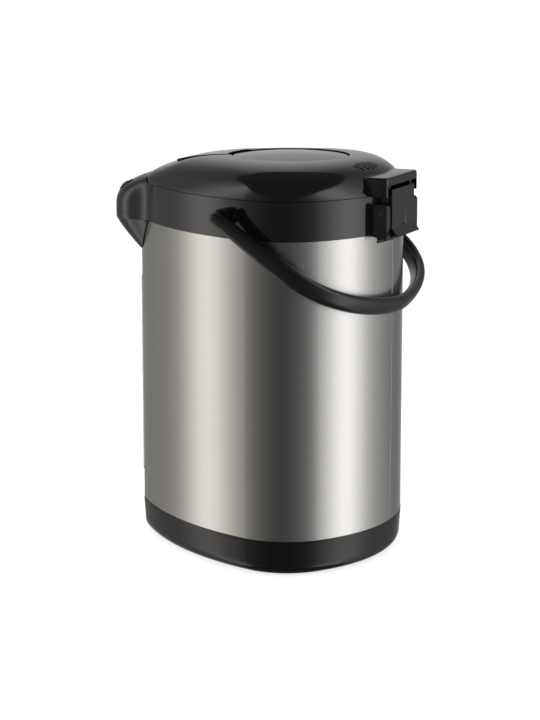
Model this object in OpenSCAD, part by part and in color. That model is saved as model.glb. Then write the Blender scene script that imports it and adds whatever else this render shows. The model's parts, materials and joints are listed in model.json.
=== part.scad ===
// Electric thermo pot: an insulated water boiler with a hand pump in the lid, an electric
// pump in the base, a spout under the nose and a carrying bail.
// Origin: on the table, in the middle of the foot ring. The spout faces -Y, the hinge is at +Y.

/* [Body] */
// Width of the body
body_w = 217.2; // [200:0.2:262]
// Distance from the centre to the rear face
rear_y = 115.2; // [114:0.2:130]
// Distance from the centre to the front of the steel jacket
front_y = 121.4; // [118:0.2:135]
// Radius of the gently curved rear
rear_r = 137; // [125:1:180]
// Radius of the two rear corners
corner_r = 59.5; // [50:0.5:64]
// Radius of the flanks
flank_r = 264; // [240:1:330]
// Radius of the narrow front
nose_r = 30.2; // [26:0.2:36]
// Height of the base
base_h = 31; // [30:0.5:36]
// Height of the steel jacket
jacket_h = 254.5; // [212:0.5:310]
// Thickness of the steel
sheet_t = 0.8; // [0.6:0.1:1]
// Height of the collar above the jacket
collar_h = 32.7; // [31:0.1:36]
// Thickness of the moulded walls
wall = 2.5; // [2:0.1:3]

/* [Snout] */
// Reach of the snout past the jacket
snout_out = 24.8; // [22:0.2:28]
// Radius of the snout's tip
snout_r = 30; // [27:0.5:32]
// Backward lean of the snout's tip between its root and its top
snout_rake = 34.2; // [30:0.2:36]
// Height over which the snout leans back
snout_lean_h = 31.5; // [30:0.5:33]
// Rise of the parting line towards the tip
chin_rise = 9; // [6:0.5:10]
// Height of the chin below the collar
chin_h = 28; // [24:0.5:30]

/* [Inner pot] */
// Inner radius of the pot
pot_r = 75.5; // [66:0.5:76]
// Distance of the pot's axis behind the centre
pot_y = 13; // [11:0.5:14]
// Height of the pot's underside
pot_z = 60; // [58:0.5:66]
// Radius of the pot's lower corner
pot_corner_r = 12; // [8:0.5:14]
// Width of the pot's rim
rim_w = 4.2; // [3.6:0.1:4.4]
// Thickness of the insulation
insulation_t = 9; // [5:0.5:10]

/* [Lid] */
// Height of the dome over the lid's lower edge
lid_rise = 27.1; // [25:0.1:30]
// Distance from the centre to the lid's front edge
lid_front = 112; // [110:0.5:114]
// Height of the lid's front edge over its lower edge
lid_lip_h = 6.2; // [6:0.1:8]
// Depth of the plug below the lid's lower edge
plug_depth = 19.6; // [16:0.2:22]
// Radius of the push plate
plate_r = 50; // [44:0.5:51]
// Distance of the push plate's axis behind the centre
plate_y = 20; // [18:0.5:22]
// Height of the push plate's crown
plate_crown = 3; // [2:0.2:4]
// Travel of the push plate
plate_travel = 20; // [15:0.5:21]
// Half the width of the lid lever
lever_half_w = 22; // [19:0.5:23]
// Distance from the centre to the lid lever's front edge
lever_front = 78; // [70:0.5:80]

/* [Hinge] */
// Distance of the hinge pin behind the centre
hinge_y = 118.2; // [118:0.1:120]
// Depth of the hinge pin below the collar's deck
hinge_drop = 14.1; // [13.5:0.1:15]
// Radius of the hinge pin
pin_r = 1.5; // [1.2:0.1:2]
// Half the width over the ears
ears_half_w = 36.4; // [34:0.2:38]
// Thickness of one ear
ear_t = 8.9; // [7:0.1:9]
// Half the width of the release lever
release_half_w = 25.7; // [24:0.1:26]

/* [Bail] */
// Distance of the pivots behind the centre
bail_y = 5.1; // [0:0.1:12]
// Depth of the pivots below the collar's deck
bail_drop = 14.3; // [13:0.1:16]
// Space between the collar and the bail at the pivot
bail_space = 9.5; // [7:0.5:11]
// Angle at which the bail hangs, below the horizontal
bail_hang = 34.5; // [30:0.5:40]
// Half the thickness of the arms at the pivots
arm_half_t = 7; // [5.5:0.1:7.5]
// Half the thickness of the grip
grip_half_t = 5; // [4.5:0.1:6]
// Half the height of the arms at the pivots
arm_half_h = 5.4; // [5:0.1:6]
// Half the height of the grip
grip_half_h = 7.9; // [6.5:0.1:8.5]
// Radius of the pivot studs
stud_r = 3; // [2.5:0.1:3.4]

/* [Water path] */
// Bore radius of the spout nozzle
nozzle_bore_r = 4; // [3:0.1:4.2]
// Distance of the nozzle in front of the jacket
nozzle_out = 8.6; // [8:0.1:9.5]
// Distance from the jacket's front back to the riser tube
riser_in = 11.4; // [11:0.1:13]
// Outer radius of the riser tube
riser_r = 4.5; // [4:0.1:4.8]
// Outer radius of the pump
pump_r = 20; // [18:0.5:21]
// Height of the level window
window_h = 172; // [140:1:176]

/* [Fits] */
// Radial clearance of a pin or stud that turns
running_gap = 0.05; // [0.03:0.01:0.08]
// Gap between pieces that are assembled and stay put
seat_gap = 0.2; // [0.15:0.05:0.3]
// Gap between pieces that move past each other
moving_gap = 0.4; // [0.35:0.05:0.5]

/* [Hidden] */
$fn = 72;

black = "#17181b";
gloss_black = "#202228";
steel = "#b9b6b0";
clear = [0.75, 0.85, 0.9, 0.5];

// ---- heights ----
jacket_top = base_h + jacket_h;
deck_z = jacket_top + collar_h;
lid_z = deck_z + moving_gap;
lid_top = lid_z + lid_rise;
hinge_z = deck_z - hinge_drop;
pivot_z = deck_z - bail_drop;
rim_z = deck_z - 6.2;
snout_z = deck_z + 7.3 - snout_lean_h;
rim_clear = 0.8;
flange_z = 3.6;

// ---- body outline: seven tangent arcs, by bearing clockwise from the rear ----
function bearing(a) = [sin(a), cos(a)];
rear_c = [0, rear_y - rear_r];
rear_turn = asin((body_w / 2 - corner_r) / (rear_r - corner_r));
corner_c = rear_c + (rear_r - corner_r) * bearing(rear_turn);
nose_c = [0, nose_r - front_y];
// the flank's centre lies at known distances from the centres of the corner and the nose
flank_to_corner = flank_r - corner_r;
flank_to_nose = flank_r - nose_r;
corner_to_nose = norm(nose_c - corner_c);
flank_along = (corner_to_nose + (pow(flank_to_corner, 2) - pow(flank_to_nose, 2)) / corner_to_nose) / 2;
flank_aside = sqrt(pow(flank_to_corner, 2) - pow(flank_along, 2));
chord = (nose_c - corner_c) / corner_to_nose;
flank_c = corner_c + flank_along * chord + flank_aside * [chord.y, -chord.x];
side_turn = atan2(corner_c.x - flank_c.x, corner_c.y - flank_c.y);
nose_turn = atan2(nose_c.x - flank_c.x, nose_c.y - flank_c.y);

function arc_run(c, r, a, b, n) = [for (i = [0:n - 1]) c + r * bearing(a + (b - a) * i / n)];
function bezier(p, n) = [for (i = [0:n - 1]) let (t = i / n, u = 1 - t)
    u * u * u * p[0] + 3 * u * u * t * p[1] + 3 * u * t * t * p[2] + t * t * t * p[3]];
// a half outline runs from the rear over +X to the front; its mirror image closes it
function closed(half) = concat(half, [for (i = [len(half) - 2:-1:1]) [-half[i].x, half[i].y]]);
function body_half(inset, fine = 1) = concat(
    arc_run(rear_c, rear_r - inset, 0, rear_turn, 5 * fine),
    arc_run(corner_c, corner_r - inset, rear_turn, side_turn, 9 * fine),
    arc_run(flank_c, flank_r - inset, side_turn, nose_turn, 7 * fine),
    arc_run(nose_c, nose_r - inset, nose_turn, 180, 6 * fine),
    [nose_c - [0, nose_r - inset]]);
function body_outline(inset, fine = 1) = closed(body_half(inset, fine));

module body_prism(inset, z0, z1, fine = 2) {
    translate([0, 0, z0])
        linear_extrude(z1 - z0)
            polygon(body_outline(inset, fine));
}

module body_ring(outer, inner, z0, z1) {
    difference() {
        body_prism(outer, z0, z1);
        body_prism(inner, z0 - 1, z1 + 1);
    }
}

// half the body's width at a place on the flank
function side_x(y) = flank_c.x + sqrt(pow(flank_r, 2) - pow(y - flank_c.y, 2));

// ---- snout outline: leaves the flank, sweeps in and runs round the tip ----
snout_leave = 135;
snout_meet = 100;
snout_handle = 9;
snout_c = [0, snout_r - front_y - snout_out];
function heading(a) = [cos(a), -sin(a)];
function snout_front(inset) = let (
    p0 = flank_c + (flank_r - inset) * bearing(snout_leave),
    p3 = snout_c + (snout_r - inset) * bearing(snout_meet))
    concat(bezier([p0, p0 + snout_handle * heading(snout_leave),
            p3 - snout_handle * heading(snout_meet), p3], 5),
        arc_run(snout_c, snout_r - inset, snout_meet, 180, 9),
        [snout_c - [0, snout_r - inset]]);
// the body's own outline, with the points in the same order
function lip_half(inset) = concat(
    arc_run(rear_c, rear_r - inset, 0, rear_turn, 5),
    arc_run(corner_c, corner_r - inset, rear_turn, side_turn, 9),
    arc_run(flank_c, flank_r - inset, side_turn, snout_leave, 7),
    arc_run(flank_c, flank_r - inset, snout_leave, nose_turn, 5),
    arc_run(nose_c, nose_r - inset, nose_turn, 180, 9),
    [nose_c - [0, nose_r - inset]]);
function snout_half(inset) = concat(
    arc_run(rear_c, rear_r - inset, 0, rear_turn, 5),
    arc_run(corner_c, corner_r - inset, rear_turn, side_turn, 9),
    arc_run(flank_c, flank_r - inset, side_turn, snout_leave, 7),
    snout_front(inset));

// ---- lofts ----
function at_z(ring, z) = [for (p = ring) [p.x, p.y, z]];
function flat(lists) = [for (l = lists) for (p = l) p];
function band(n, a, b) = [for (i = [0:n - 1]) let (k = (i + 1) % n)
    each [[a * n + i, a * n + k, b * n + k], [a * n + i, b * n + k, b * n + i]]];

// a stack of rings, closed at both ends
module ring_stack(rings) {
    n = len(rings[0]);
    m = len(rings);
    polyhedron(flat(rings), concat(
        [[for (i = [n - 1:-1:0]) i]],
        flat([for (j = [0:m - 2]) band(n, j, j + 1)]),
        [[for (i = [0:n - 1]) (m - 1) * n + i]]));
}

// a wall whose section is a closed loop of rings: up outside, in, down inside and out
module ring_loop(rings) {
    n = len(rings[0]);
    m = len(rings);
    polyhedron(flat(rings), flat([for (j = [0:m - 1]) band(n, j, (j + 1) % m)]));
}

function smooth(t) = let (c = min(1, max(0, t))) c * c * (3 - 2 * c);
// points on a circle about the pot's axis, seen in the same directions as the outline's
function on_circle(ring, c, r) = [for (p = ring) c + r * (p - c) / norm(p - c)];

module rounded_bar(w, d, h, r) {
    steps = 5;
    linear_extrude(h)
        polygon([for (q = [0:3]) for (i = [0:steps])
            let (sx = (q == 0 || q == 3) ? 1 : -1, sy = q < 2 ? 1 : -1, a = 90 * (q + i / steps))
            [sx * (w / 2 - r) + r * cos(a), sy * (d / 2 - r) + r * sin(a)]]);
}

module tube(outer, inner, z0, z1) {
    translate([0, 0, z0])
        difference() {
            cylinder(r = outer, h = z1 - z0);
            translate([0, 0, -1])
                cylinder(r = inner, h = z1 - z0 + 2);
        }
}

// a cylinder along X between two stations
module x_rod(r, x0, x1) {
    translate([x0, 0, 0])
        rotate([0, 90, 0])
            cylinder(r = r, h = x1 - x0);
}

// ==== base ====
base_edge_r = 10;
base_draft = 2;
base_wall = 3.5;
lip_out = 0.4 + sheet_t + seat_gap;
lip_h = 4;
plate_inset = 15.4;
ledge_inset = 22;
ledge_h = 2.4;
boss_inset = 18.6;
boss_bearings = [[1, 40], [1, 134.5], [-1, 134.5], [-1, 40]];

function base_inset(z) = base_draft * (base_h - z) / base_h;
function base_edge(a) = let (z = rim_clear + base_edge_r * (1 - cos(a)))
    [base_inset(z) + base_edge_r * (1 - sin(a)), z];
base_profile = concat([for (a = [0:18:90]) base_edge(a)], [[0, base_h], [lip_out, base_h],
    [lip_out, base_h + lip_h], [base_wall, base_h + lip_h], [base_wall, flange_z + ledge_h],
    [ledge_inset, flange_z + ledge_h], [ledge_inset, flange_z],
    [plate_inset - seat_gap, flange_z], [plate_inset - seat_gap, rim_clear]]);

// the four screw places, on the outline's corner and flank arcs
function boss_place(b) = let (on_corner = b[1] < side_turn, c = on_corner ? corner_c : flank_c,
    r = (on_corner ? corner_r : flank_r) - boss_inset, p = c + r * bearing(b[1]))
    [b[0] * p.x, p.y, 0];

module at_bosses() {
    for (b = boss_bearings)
        translate(boss_place(b))
            children();
}

module base_shell() {
    color(black)
        difference() {
            union() {
                ring_loop([for (p = base_profile) at_z(body_outline(p[0]), p[1])]);
                at_bosses()
                    translate([0, 0, flange_z + ledge_h / 2])
                        cylinder(r = 3.2, h = 12);
            }
            at_bosses()
                translate([0, 0, flange_z - 1])
                    cylinder(r = 1.55, h = 12);
        }
}

plate_t = 2.4;
plate_z = flange_z - plate_t;
ring_outer = 70;
ring_inner = 58;
groove = 1.2;

module bottom_plate() {
    color(black)
        difference() {
            union() {
                body_prism(plate_inset, plate_z, flange_z, 1);
                for (x = [-26, 26], y = [38, 78])
                    translate([x, y, flange_z])
                        cylinder(r = 2.5, h = 6.4);
                translate([0, pump_y, flange_z])
                    tube(16.5, 15 + seat_gap, 0, 6);
            }
            tube(ring_outer + seat_gap, ring_inner - seat_gap, -1, plate_z + groove);
            at_bosses() {
                translate([0, 0, -1])
                    cylinder(r = 1.8, h = 10);
                translate([0, 0, -1])
                    cylinder(r = 3.3, h = 1 + plate_z + groove);
            }
        }
}

module foot_ring() {
    color("#2a2a2a")
        tube(ring_outer, ring_inner, 0, plate_z + groove);
}

module base_screws() {
    color(steel)
        at_bosses() {
            translate([0, 0, plate_z + groove - 1.1])
                cylinder(r = 3, h = 1.1);
            translate([0, 0, plate_z + groove - 0.1])
                cylinder(r = 1.5, h = 11);
        }
}

// ==== steel jacket ====
jacket_inset = 0.4;
window_half_w = 6.5;
window_z = base_h + (jacket_h - 28 - window_h) / 2;
inlet_y = corner_c.y;
inlet_z = base_h + 19;
inlet_w = 34;
inlet_h = 22;
pocket_r = 24.6;
pocket_wall = 1.6;
pocket_half_w = release_half_w + 1.5;
pocket_y = hinge_y - 19.6;
pocket_out = pocket_half_w + pocket_wall;
pocket_low = hinge_z - pocket_r - pocket_wall;

module steel_jacket() {
    color(steel)
        difference() {
            body_ring(jacket_inset, jacket_inset + sheet_t, base_h, jacket_top);
            // rear notch for the hinge pocket
            translate([-pocket_out - seat_gap, rear_y / 2, pocket_low - seat_gap])
                cube([2 * (pocket_out + seat_gap), rear_y, 60]);
            // level window
            translate([-window_half_w, -front_y - 5, window_z])
                cube([2 * window_half_w, 12, window_h]);
            // power inlet
            translate([-body_w, inlet_y - inlet_w / 2 - seat_gap, inlet_z - inlet_h / 2 - seat_gap])
                cube([body_w, inlet_w + 2 * seat_gap, inlet_h + 2 * seat_gap]);
        }
}

// ==== collar ====
mouth_c = [0, pot_y];
mouth_r = pot_r + 6;
ledge_r = pot_r + sheet_t + 0.7;
deck_t = 3.5;
seal_t = 0.8;
ledge_z = rim_z - 1 - seal_t;
snout_root = 85;
snout_run = 60;
snout_pinch = 0.3;

// the snout leans back and narrows as it rises, more and more towards its tip
function lean(z) = pow(max(0, (z - snout_z) / snout_lean_h), 2.9);
function snout_ring(inset, z) = [for (p = closed(snout_half(inset)))
    let (w = lean(z) * smooth((-snout_root - p.y) / snout_run))
    [p.x * (1 - snout_pinch * w), p.y + snout_rake * w, z]];
snout_levels = [-32.7, -28, -20, -14, -10, -7, -4, -1.5, 0.3, 2, 3.6, 5, 6.2, 7.3];
inner_levels = [-3.5, -7, -14, -22];
// the lip that seats inside the jacket
lip_profile = [[base_wall, lip_h - 1], [base_wall, -lip_h], [lip_out, -lip_h], [lip_out, 0]];
outline_full = closed(snout_half(0));
collar_rings = concat(
    [for (z = snout_levels) snout_ring(0, deck_z + z)],
    [for (s = [[pot_r, deck_z + 7.3], [pot_r, ledge_z - 2.5], [mouth_r + wall, ledge_z - 2.5],
        [mouth_r + wall, deck_z - deck_t]]) at_z(on_circle(outline_full, mouth_c, s[0]), s[1])],
    [for (z = inner_levels) snout_ring(wall, deck_z + z)],
    [for (s = lip_profile) at_z(closed(lip_half(s[0])), jacket_top + s[1])]);

// the lid's front edge: leaves the flank, then crosses the snout
lid_leave = 130.4;
lid_handles = [22, 24];
function lid_edge(inset) = let (
    p0 = flank_c + (flank_r - inset) * bearing(lid_leave),
    p3 = [0, inset - lid_front])
    bezier([p0, p0 + lid_handles[0] * heading(lid_leave), p3 + [lid_handles[1], 0], p3], 8);
function lid_half(inset) = concat(
    arc_run(rear_c, rear_r - inset, 0, rear_turn, 5),
    arc_run(corner_c, corner_r - inset, rear_turn, side_turn, 9),
    arc_run(flank_c, flank_r - inset, side_turn, lid_leave, 7),
    lid_edge(inset),
    [[0, inset - lid_front]]);

// everything above the deck, back to the lid's front edge and its gap
module over_deck() {
    edge = concat(lid_edge(-0.6), [[0, -lid_front - 0.6]]);
    n = len(edge);
    far = 200;
    translate([0, 0, deck_z])
        linear_extrude(40)
            polygon(concat([[far, far], [far, edge[0].y]], edge,
                [for (i = [n - 2:-1:0]) [-edge[i].x, edge[i].y]], [[-far, edge[0].y], [-far, far]]));
}

chin_lean = atan2(chin_rise, snout_out + nose_r / 2);
// a block on the parting line, which rises towards the tip
module on_parting(drop, low, size) {
    translate([-size.x / 2, -front_y + nose_r / 2, jacket_top - drop])
        rotate([-chin_lean, 0, 0])
            translate([0, -80, low])
                cube(size);
}

latch_z = lid_z + 2.6;
latch_t = 1.6;
latch_half_w = 10;

module collar() {
    color(gloss_black)
        difference() {
            union() {
                ring_loop(collar_rings);
                // seat under the control panel
                on_panel()
                    translate([0, panel_up, -panel_sink - seat_t])
                        rounded_bar(panel_w + 2, panel_d + 2, seat_t + 0.1, panel_corner);
            }
            over_deck();
            on_parting(0, -60, [120, 80, 60]);
            translate([0, pot_y, 0]) {
                translate([0, 0, ledge_z])
                    cylinder(r = mouth_r, h = 60);
                translate([0, 0, ledge_z - 10])
                    cylinder(r = ledge_r, h = 40);
            }
            // seat of the hinge bracket
            translate([-pocket_out - seat_gap, pocket_y - pocket_wall - seat_gap, jacket_top - 20])
                cube([2 * (pocket_out + seat_gap), 60, 80]);
            translate([-ears_half_w - seat_gap, wing_front - seat_gap, jacket_top - 0.1])
                cube([2 * (ears_half_w + seat_gap), 60, 80]);
            // holes of the handle pivots
            translate([0, bail_y, pivot_z])
                x_rod(stud_r + 1 + seat_gap / 2, -body_w, body_w);
            // way of the spout's elbow through the snout's floor
            translate([0, nozzle_y, jacket_top - 5])
                cylinder(r = hose_r + 0.5, h = 20);
            // strike slot of the latch
            translate([-latch_half_w - 1, -lid_front - 5, latch_z - 0.5])
                cube([2 * latch_half_w + 2, 6, latch_t + 1]);
            // recess of the control panel, with ways for the buttons and lamps
            on_panel() {
                translate([0, panel_up, -panel_sink])
                    rounded_bar(panel_w + 2 * seat_gap, panel_d + 2 * seat_gap, 12, panel_corner);
                for (x = button_places)
                    translate([x, 0, -14]) {
                        cylinder(r = button_r + moving_gap, h = 16);
                        cylinder(r = button_r + 1.8, h = 14 - panel_sink - seat_t);
                    }
                for (x = lamp_places)
                    translate([x, lamp_up, -panel_sink - 1.6])
                        cylinder(r = lamp_r + 0.1, h = 6);
            }
        }
}

// ==== chin ====
chin_shape = 1.25;
chin_levels = [1, 0.85, 0.7, 0.55, 0.4, 0.27, 0.14, 0];
chin_back = front_y - 24;
nozzle_y = -front_y - nozzle_out;
nozzle_z = jacket_top - 13;
nozzle_wall = 1;
recess_r = nozzle_bore_r + nozzle_wall + 2;

// the chin's section at a share of its depth: the snout's front, drawn in
function chin_ring(u) = let (
    root = -chin_back,
    tip = front_y + 1.2 + (snout_out - 1.2) * (1 - pow(u, chin_shape)),
    ky = (tip - chin_back) / (front_y + snout_out - chin_back),
    kx = 1 - u / 3,
    front = [for (p = snout_front(0)) [p.x * kx, min(p.y, root) * ky + root * (1 - ky)]],
    n = len(front))
    concat(front, [for (i = [n - 2:-1:0]) [-front[i].x, front[i].y]]);

module nose_chin() {
    color(gloss_black)
        difference() {
            ring_stack(concat([for (u = chin_levels) at_z(chin_ring(u), jacket_top - chin_h * u)],
                [at_z(chin_ring(0), jacket_top + chin_rise + 2)]));
            on_parting(seat_gap, 0, [120, 120, 60]);
            body_prism(jacket_inset - 0.5, base_h, jacket_top + 40);
            translate([0, nozzle_y, base_h])
                cylinder(r = recess_r, h = jacket_h + 40);
        }
}

// ==== hinge bracket ====
ear_front = hinge_y - 7.4;
wing_front = hinge_y - 9.7;
ear_back = hinge_y + 4.9;
ear_slope = 2.7;
ear_low = hinge_z - 22.7;
ear_high = hinge_z + 7.4;
ear_round = 3.5;

module ear_plate() {
    steps = 6;
    linear_extrude(ear_t)
        polygon(concat([[ear_front, ear_low + ear_slope], [ear_back, ear_low]],
            [for (i = [0:steps]) let (a = 90 * i / steps)
                [ear_back - ear_round + ear_round * cos(a), ear_high - ear_round + ear_round * sin(a)]],
            [[ear_front, ear_high]]));
}

module at_hinge() {
    translate([0, hinge_y, hinge_z])
        children();
}

module hinge_bracket() {
    inner = ears_half_w - ear_t;
    color(black)
        difference() {
            union() {
                // trough behind the pocket, and the wings that close the collar
                intersection() {
                    union() {
                        translate([-pocket_out, pocket_y - pocket_wall, hinge_z])
                            cube([2 * pocket_out, 60, hinge_drop]);
                        intersection() {
                            at_hinge()
                                x_rod(pocket_r + pocket_wall, -pocket_out, pocket_out);
                            translate([-pocket_out, pocket_y - pocket_wall, pocket_low])
                                cube([2 * pocket_out, 60, pocket_r + pocket_wall]);
                        }
                        translate([-ears_half_w, wing_front, jacket_top])
                            cube([2 * ears_half_w, 60, deck_z - jacket_top]);
                    }
                    body_prism(0, pocket_low - 1, deck_z);
                }
                difference() {
                    for (x = [-ears_half_w, inner])
                        translate([x, 0, 0])
                            rotate([90, 0, 90])
                                ear_plate();
                    body_prism(jacket_inset - seat_gap, ear_low - 1, jacket_top);
                }
            }
            // the pocket that the lid's arms and the release lever swing in
            translate([-inner, pocket_y, hinge_z])
                cube([2 * inner, 80, 40]);
            intersection() {
                at_hinge()
                    x_rod(pocket_r, -inner, inner);
                translate([-inner, pocket_y, pocket_low - 1])
                    cube([2 * inner, 80, pocket_r + pocket_wall + 2]);
            }
            at_hinge()
                x_rod(pin_r + running_gap, -ears_half_w - 1, ears_half_w + 1);
        }
}

module hinge_pin() {
    color(steel)
        at_hinge() {
            x_rod(pin_r, -ears_half_w - 1.4, ears_half_w + 0.1);
            x_rod(pin_r + 0.8, ears_half_w, ears_half_w + 0.8);
        }
}

module pin_clip() {
    color(steel)
        at_hinge()
            difference() {
                x_rod(pin_r + 1.6, -ears_half_w - 0.9, -ears_half_w - 0.1);
                x_rod(pin_r + 0.02, -ears_half_w - 2, -ears_half_w + 1);
            }
}

// ==== bail and its pivots ====
bail_x = side_x(bail_y) + bail_space + arm_half_t;
stud_end = bail_x + 1.5;
spacer_r = 7;

module handle_pivots() {
    color(black)
        for (s = [0, 1])
            mirror([s, 0, 0])
                translate([0, bail_y, pivot_z]) {
                    // stud through the collar's wall, with its head inside
                    x_rod(stud_r + 1, side_x(bail_y) - 6, bail_x - arm_half_t - 2);
                    x_rod(stud_r, bail_x - arm_half_t - 3, stud_end);
                    x_rod(spacer_r, side_x(bail_y) - 8, side_x(bail_y) - 6);
                    // spacer between collar and bail, cut to the flank
                    translate([0, -bail_y, -pivot_z])
                        difference() {
                            translate([0, bail_y, pivot_z])
                                x_rod(spacer_r, side_x(bail_y) - 5, bail_x - arm_half_t - moving_gap);
                            body_prism(-seat_gap, jacket_top, deck_z);
                        }
                }
}

// the bail lies in one plane: a superellipse in plan, bowed out and up a little
bail_side_pow = 1.58;
bail_reach_pow = 5.39;
bail_swell = 6.1;
bail_bow = 2.2;
bail_reach = (rear_y + 6.9 - bail_y) / cos(bail_hang);
section_pow = 2.67;
section_n = 14;
bail_along = [for (i = [0:12]) 0.84 * i / 12];
bail_across = [for (i = [1:14]) 1 - i / 14];
function across_at(u) = pow(1 - pow(u, bail_reach_pow), 1 / bail_side_pow);
function reach_at(m) = pow(1 - pow(m, bail_side_pow), 1 / bail_reach_pow);
corner_m = across_at(0.84);
function bail_mid(m, u) = let (s = sin(180 * u))
    [bail_x * m + bail_swell * s, bail_reach * u, bail_bow * s];
bail_quarter = concat([for (u = bail_along) bail_mid(across_at(u), u)],
    [for (k = bail_across) bail_mid(corner_m * k, reach_at(corner_m * k))]);
bail_n = len(bail_quarter);
bail_line = concat(bail_quarter,
    [for (i = [bail_n - 2:-1:0]) [-bail_quarter[i].x, bail_quarter[i].y, bail_quarter[i].z]]);

function power(c, p) = sign(c) * pow(abs(c), p);
function section_pt(a, t, h) = [t * power(cos(a), 2 / section_pow), h * power(sin(a), 2 / section_pow)];
// one ring: place, travel direction, half thickness and half height
function bail_ring(p, along, t, h) = let (out = cross([0, 0, 1], along) / norm(cross([0, 0, 1], along)))
    [for (i = [0:section_n - 1]) let (q = section_pt(-360 * (i + 0.5) / section_n, t, h))
        p - out * q.x + [0, 0, q.y]];
function bail_size(u) = let (s = smooth(u / 0.6))
    [arm_half_t + (grip_half_t - arm_half_t) * s, arm_half_h + (grip_half_h - arm_half_h) * s];
cap_angles = [75, 50, 25];
function bail_cap(side, angles) = [for (a = angles)
    bail_ring([side * bail_x, -arm_half_h * sin(a), 0], [0, side, 0],
        arm_half_t * (0.45 + 0.55 * cos(a)), arm_half_h * cos(a))];

module bail_solid() {
    n = len(bail_line);
    ring_stack(concat(
        bail_cap(1, cap_angles),
        [for (i = [0:n - 1])
            let (ahead = bail_line[min(i + 1, n - 1)], back = bail_line[max(i - 1, 0)],
                d = i == 0 ? [0, 1, 0] : i == n - 1 ? [0, -1, 0] : ahead - back,
                size = bail_size(bail_line[i].y / bail_reach))
            bail_ring(bail_line[i], [d.x, d.y, 0], size[0], size[1])],
        bail_cap(-1, [for (i = [2:-1:0]) cap_angles[i]])));
}

module bail_handle() {
    color(black)
        translate([0, bail_y, pivot_z])
            difference() {
                rotate([-bail_hang, 0, 0])
                    bail_solid();
                x_rod(stud_r + running_gap, bail_x - arm_half_t - 2, stud_end + 0.5);
                x_rod(stud_r + running_gap, -stud_end - 0.5, -bail_x + arm_half_t + 2);
            }
}

// ==== pot, heater and insulation ====
outlet_r = 4.5;
pump_y = pot_y - pot_r + 18.5;

module inner_pot() {
    r = pot_r + sheet_t;
    c = pot_corner_r;
    steps = 8;
    color("#c9c9c6")
        translate([0, pot_y, 0])
            difference() {
                rotate_extrude($fn = 120)
                    polygon(concat(
                        [[0, pot_z], [r - c, pot_z]],
                        [for (i = [1:steps]) let (a = 90 * i / steps)
                            [r - c + c * sin(a), pot_z + c - c * cos(a)]],
                        [[r, rim_z - 1], [pot_r + sheet_t + rim_w, rim_z - 1],
                            [pot_r + sheet_t + rim_w, rim_z], [pot_r, rim_z]],
                        [for (i = [steps:-1:0]) let (a = 90 * i / steps, k = c - sheet_t)
                            [r - c + k * sin(a), pot_z + c - k * cos(a)]],
                        [[0, pot_z + sheet_t]]));
                translate([0, pump_y - pot_y, pot_z - 1])
                    cylinder(r = outlet_r, h = 4);
            }
}

module neck_seal() {
    color("#d8d4cc")
        translate([0, pot_y, 0])
            tube(mouth_r - 0.6, ledge_r + 0.1, ledge_z, ledge_z + seal_t);
}

module insulation_sleeve() {
    r = pot_r + sheet_t + 0.5;
    color("#e4e2da")
        translate([0, pot_y, 0])
            tube(r + insulation_t, r, pot_z + 8, hinge_z - pocket_r - pocket_wall - 6);
}

heater_r = 46;
heater_z = pot_z - 6;
module heater() {
    color("#9a9a98")
        translate([0, pot_y, 0]) {
            translate([0, 0, heater_z + 4])
                cylinder(r = heater_r, h = pot_z - heater_z - 4);
            translate([0, 0, heater_z])
                rotate_extrude(angle = 320)
                    translate([heater_r - 10, 1.4])
                        circle(r = 3);
        }
}

module thermostat() {
    color("#d7d3c8")
        translate([0, pot_y, 0]) {
            translate([0, 0, heater_z - 6])
                cylinder(r = 9, h = 10);
            for (x = [-5, 5])
                translate([x - 0.4, -3, heater_z - 13])
                    cube([0.8, 6, 8]);
        }
}

// ==== pump and water path ====
motor_r = 15;
motor_z = flange_z;
pump_z = flange_z + 25.5;
pump_h = 18;
hose_z = pump_z + 8;
riser_y = -front_y + riser_in;
bend_r = 10;
hose_r = 6;
hose_top = hose_z + bend_r + 4;
elbow_z = jacket_top + 5;

module at_pump() {
    translate([0, pump_y, 0])
        children();
}

module pump_motor() {
    color("#8d8d90")
        at_pump() {
            translate([0, 0, motor_z])
                cylinder(r = motor_r, h = 19);
            translate([0, 0, motor_z + 18])
                cylinder(r = 1.5, h = 5.5);
        }
}

module motor_magnet() {
    color("#4b4b50")
        at_pump()
            difference() {
                tube(12, 1.5 + running_gap, motor_z + 19.6, motor_z + 23.2);
                for (a = [0:60:300])
                    rotate([0, 0, a])
                        translate([8, 0, motor_z + 22.4])
                            cylinder(r = 2, h = 2);
            }
}

module pump_housing() {
    cavity_r = pump_r - 3;
    color("#e8e6e0")
        at_pump()
            difference() {
                union() {
                    translate([0, 0, pump_z])
                        cylinder(r = pump_r, h = pump_h);
                    // suction stub up to the pot
                    translate([0, 0, pump_z + pump_h - 1])
                        cylinder(r = outlet_r + 1.5, h = pot_z - pump_z - pump_h + 1 - seat_gap);
                    // outlet stub
                    translate([0, -pump_r + 2, hose_z])
                        rotate([90, 0, 0])
                            cylinder(r = 4.5, h = 8);
                }
                difference() {
                    translate([0, 0, pump_z + 2])
                        cylinder(r = cavity_r, h = pump_h - 4);
                    translate([0, 0, pump_z])
                        cylinder(r = 1.2, h = pump_h - 4);
                }
                translate([0, 0, pump_z + pump_h - 3])
                    cylinder(r = outlet_r, h = 40);
                translate([0, -pump_r + 5, hose_z])
                    rotate([90, 0, 0])
                        cylinder(r = 3.4, h = 20);
            }
}

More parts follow.
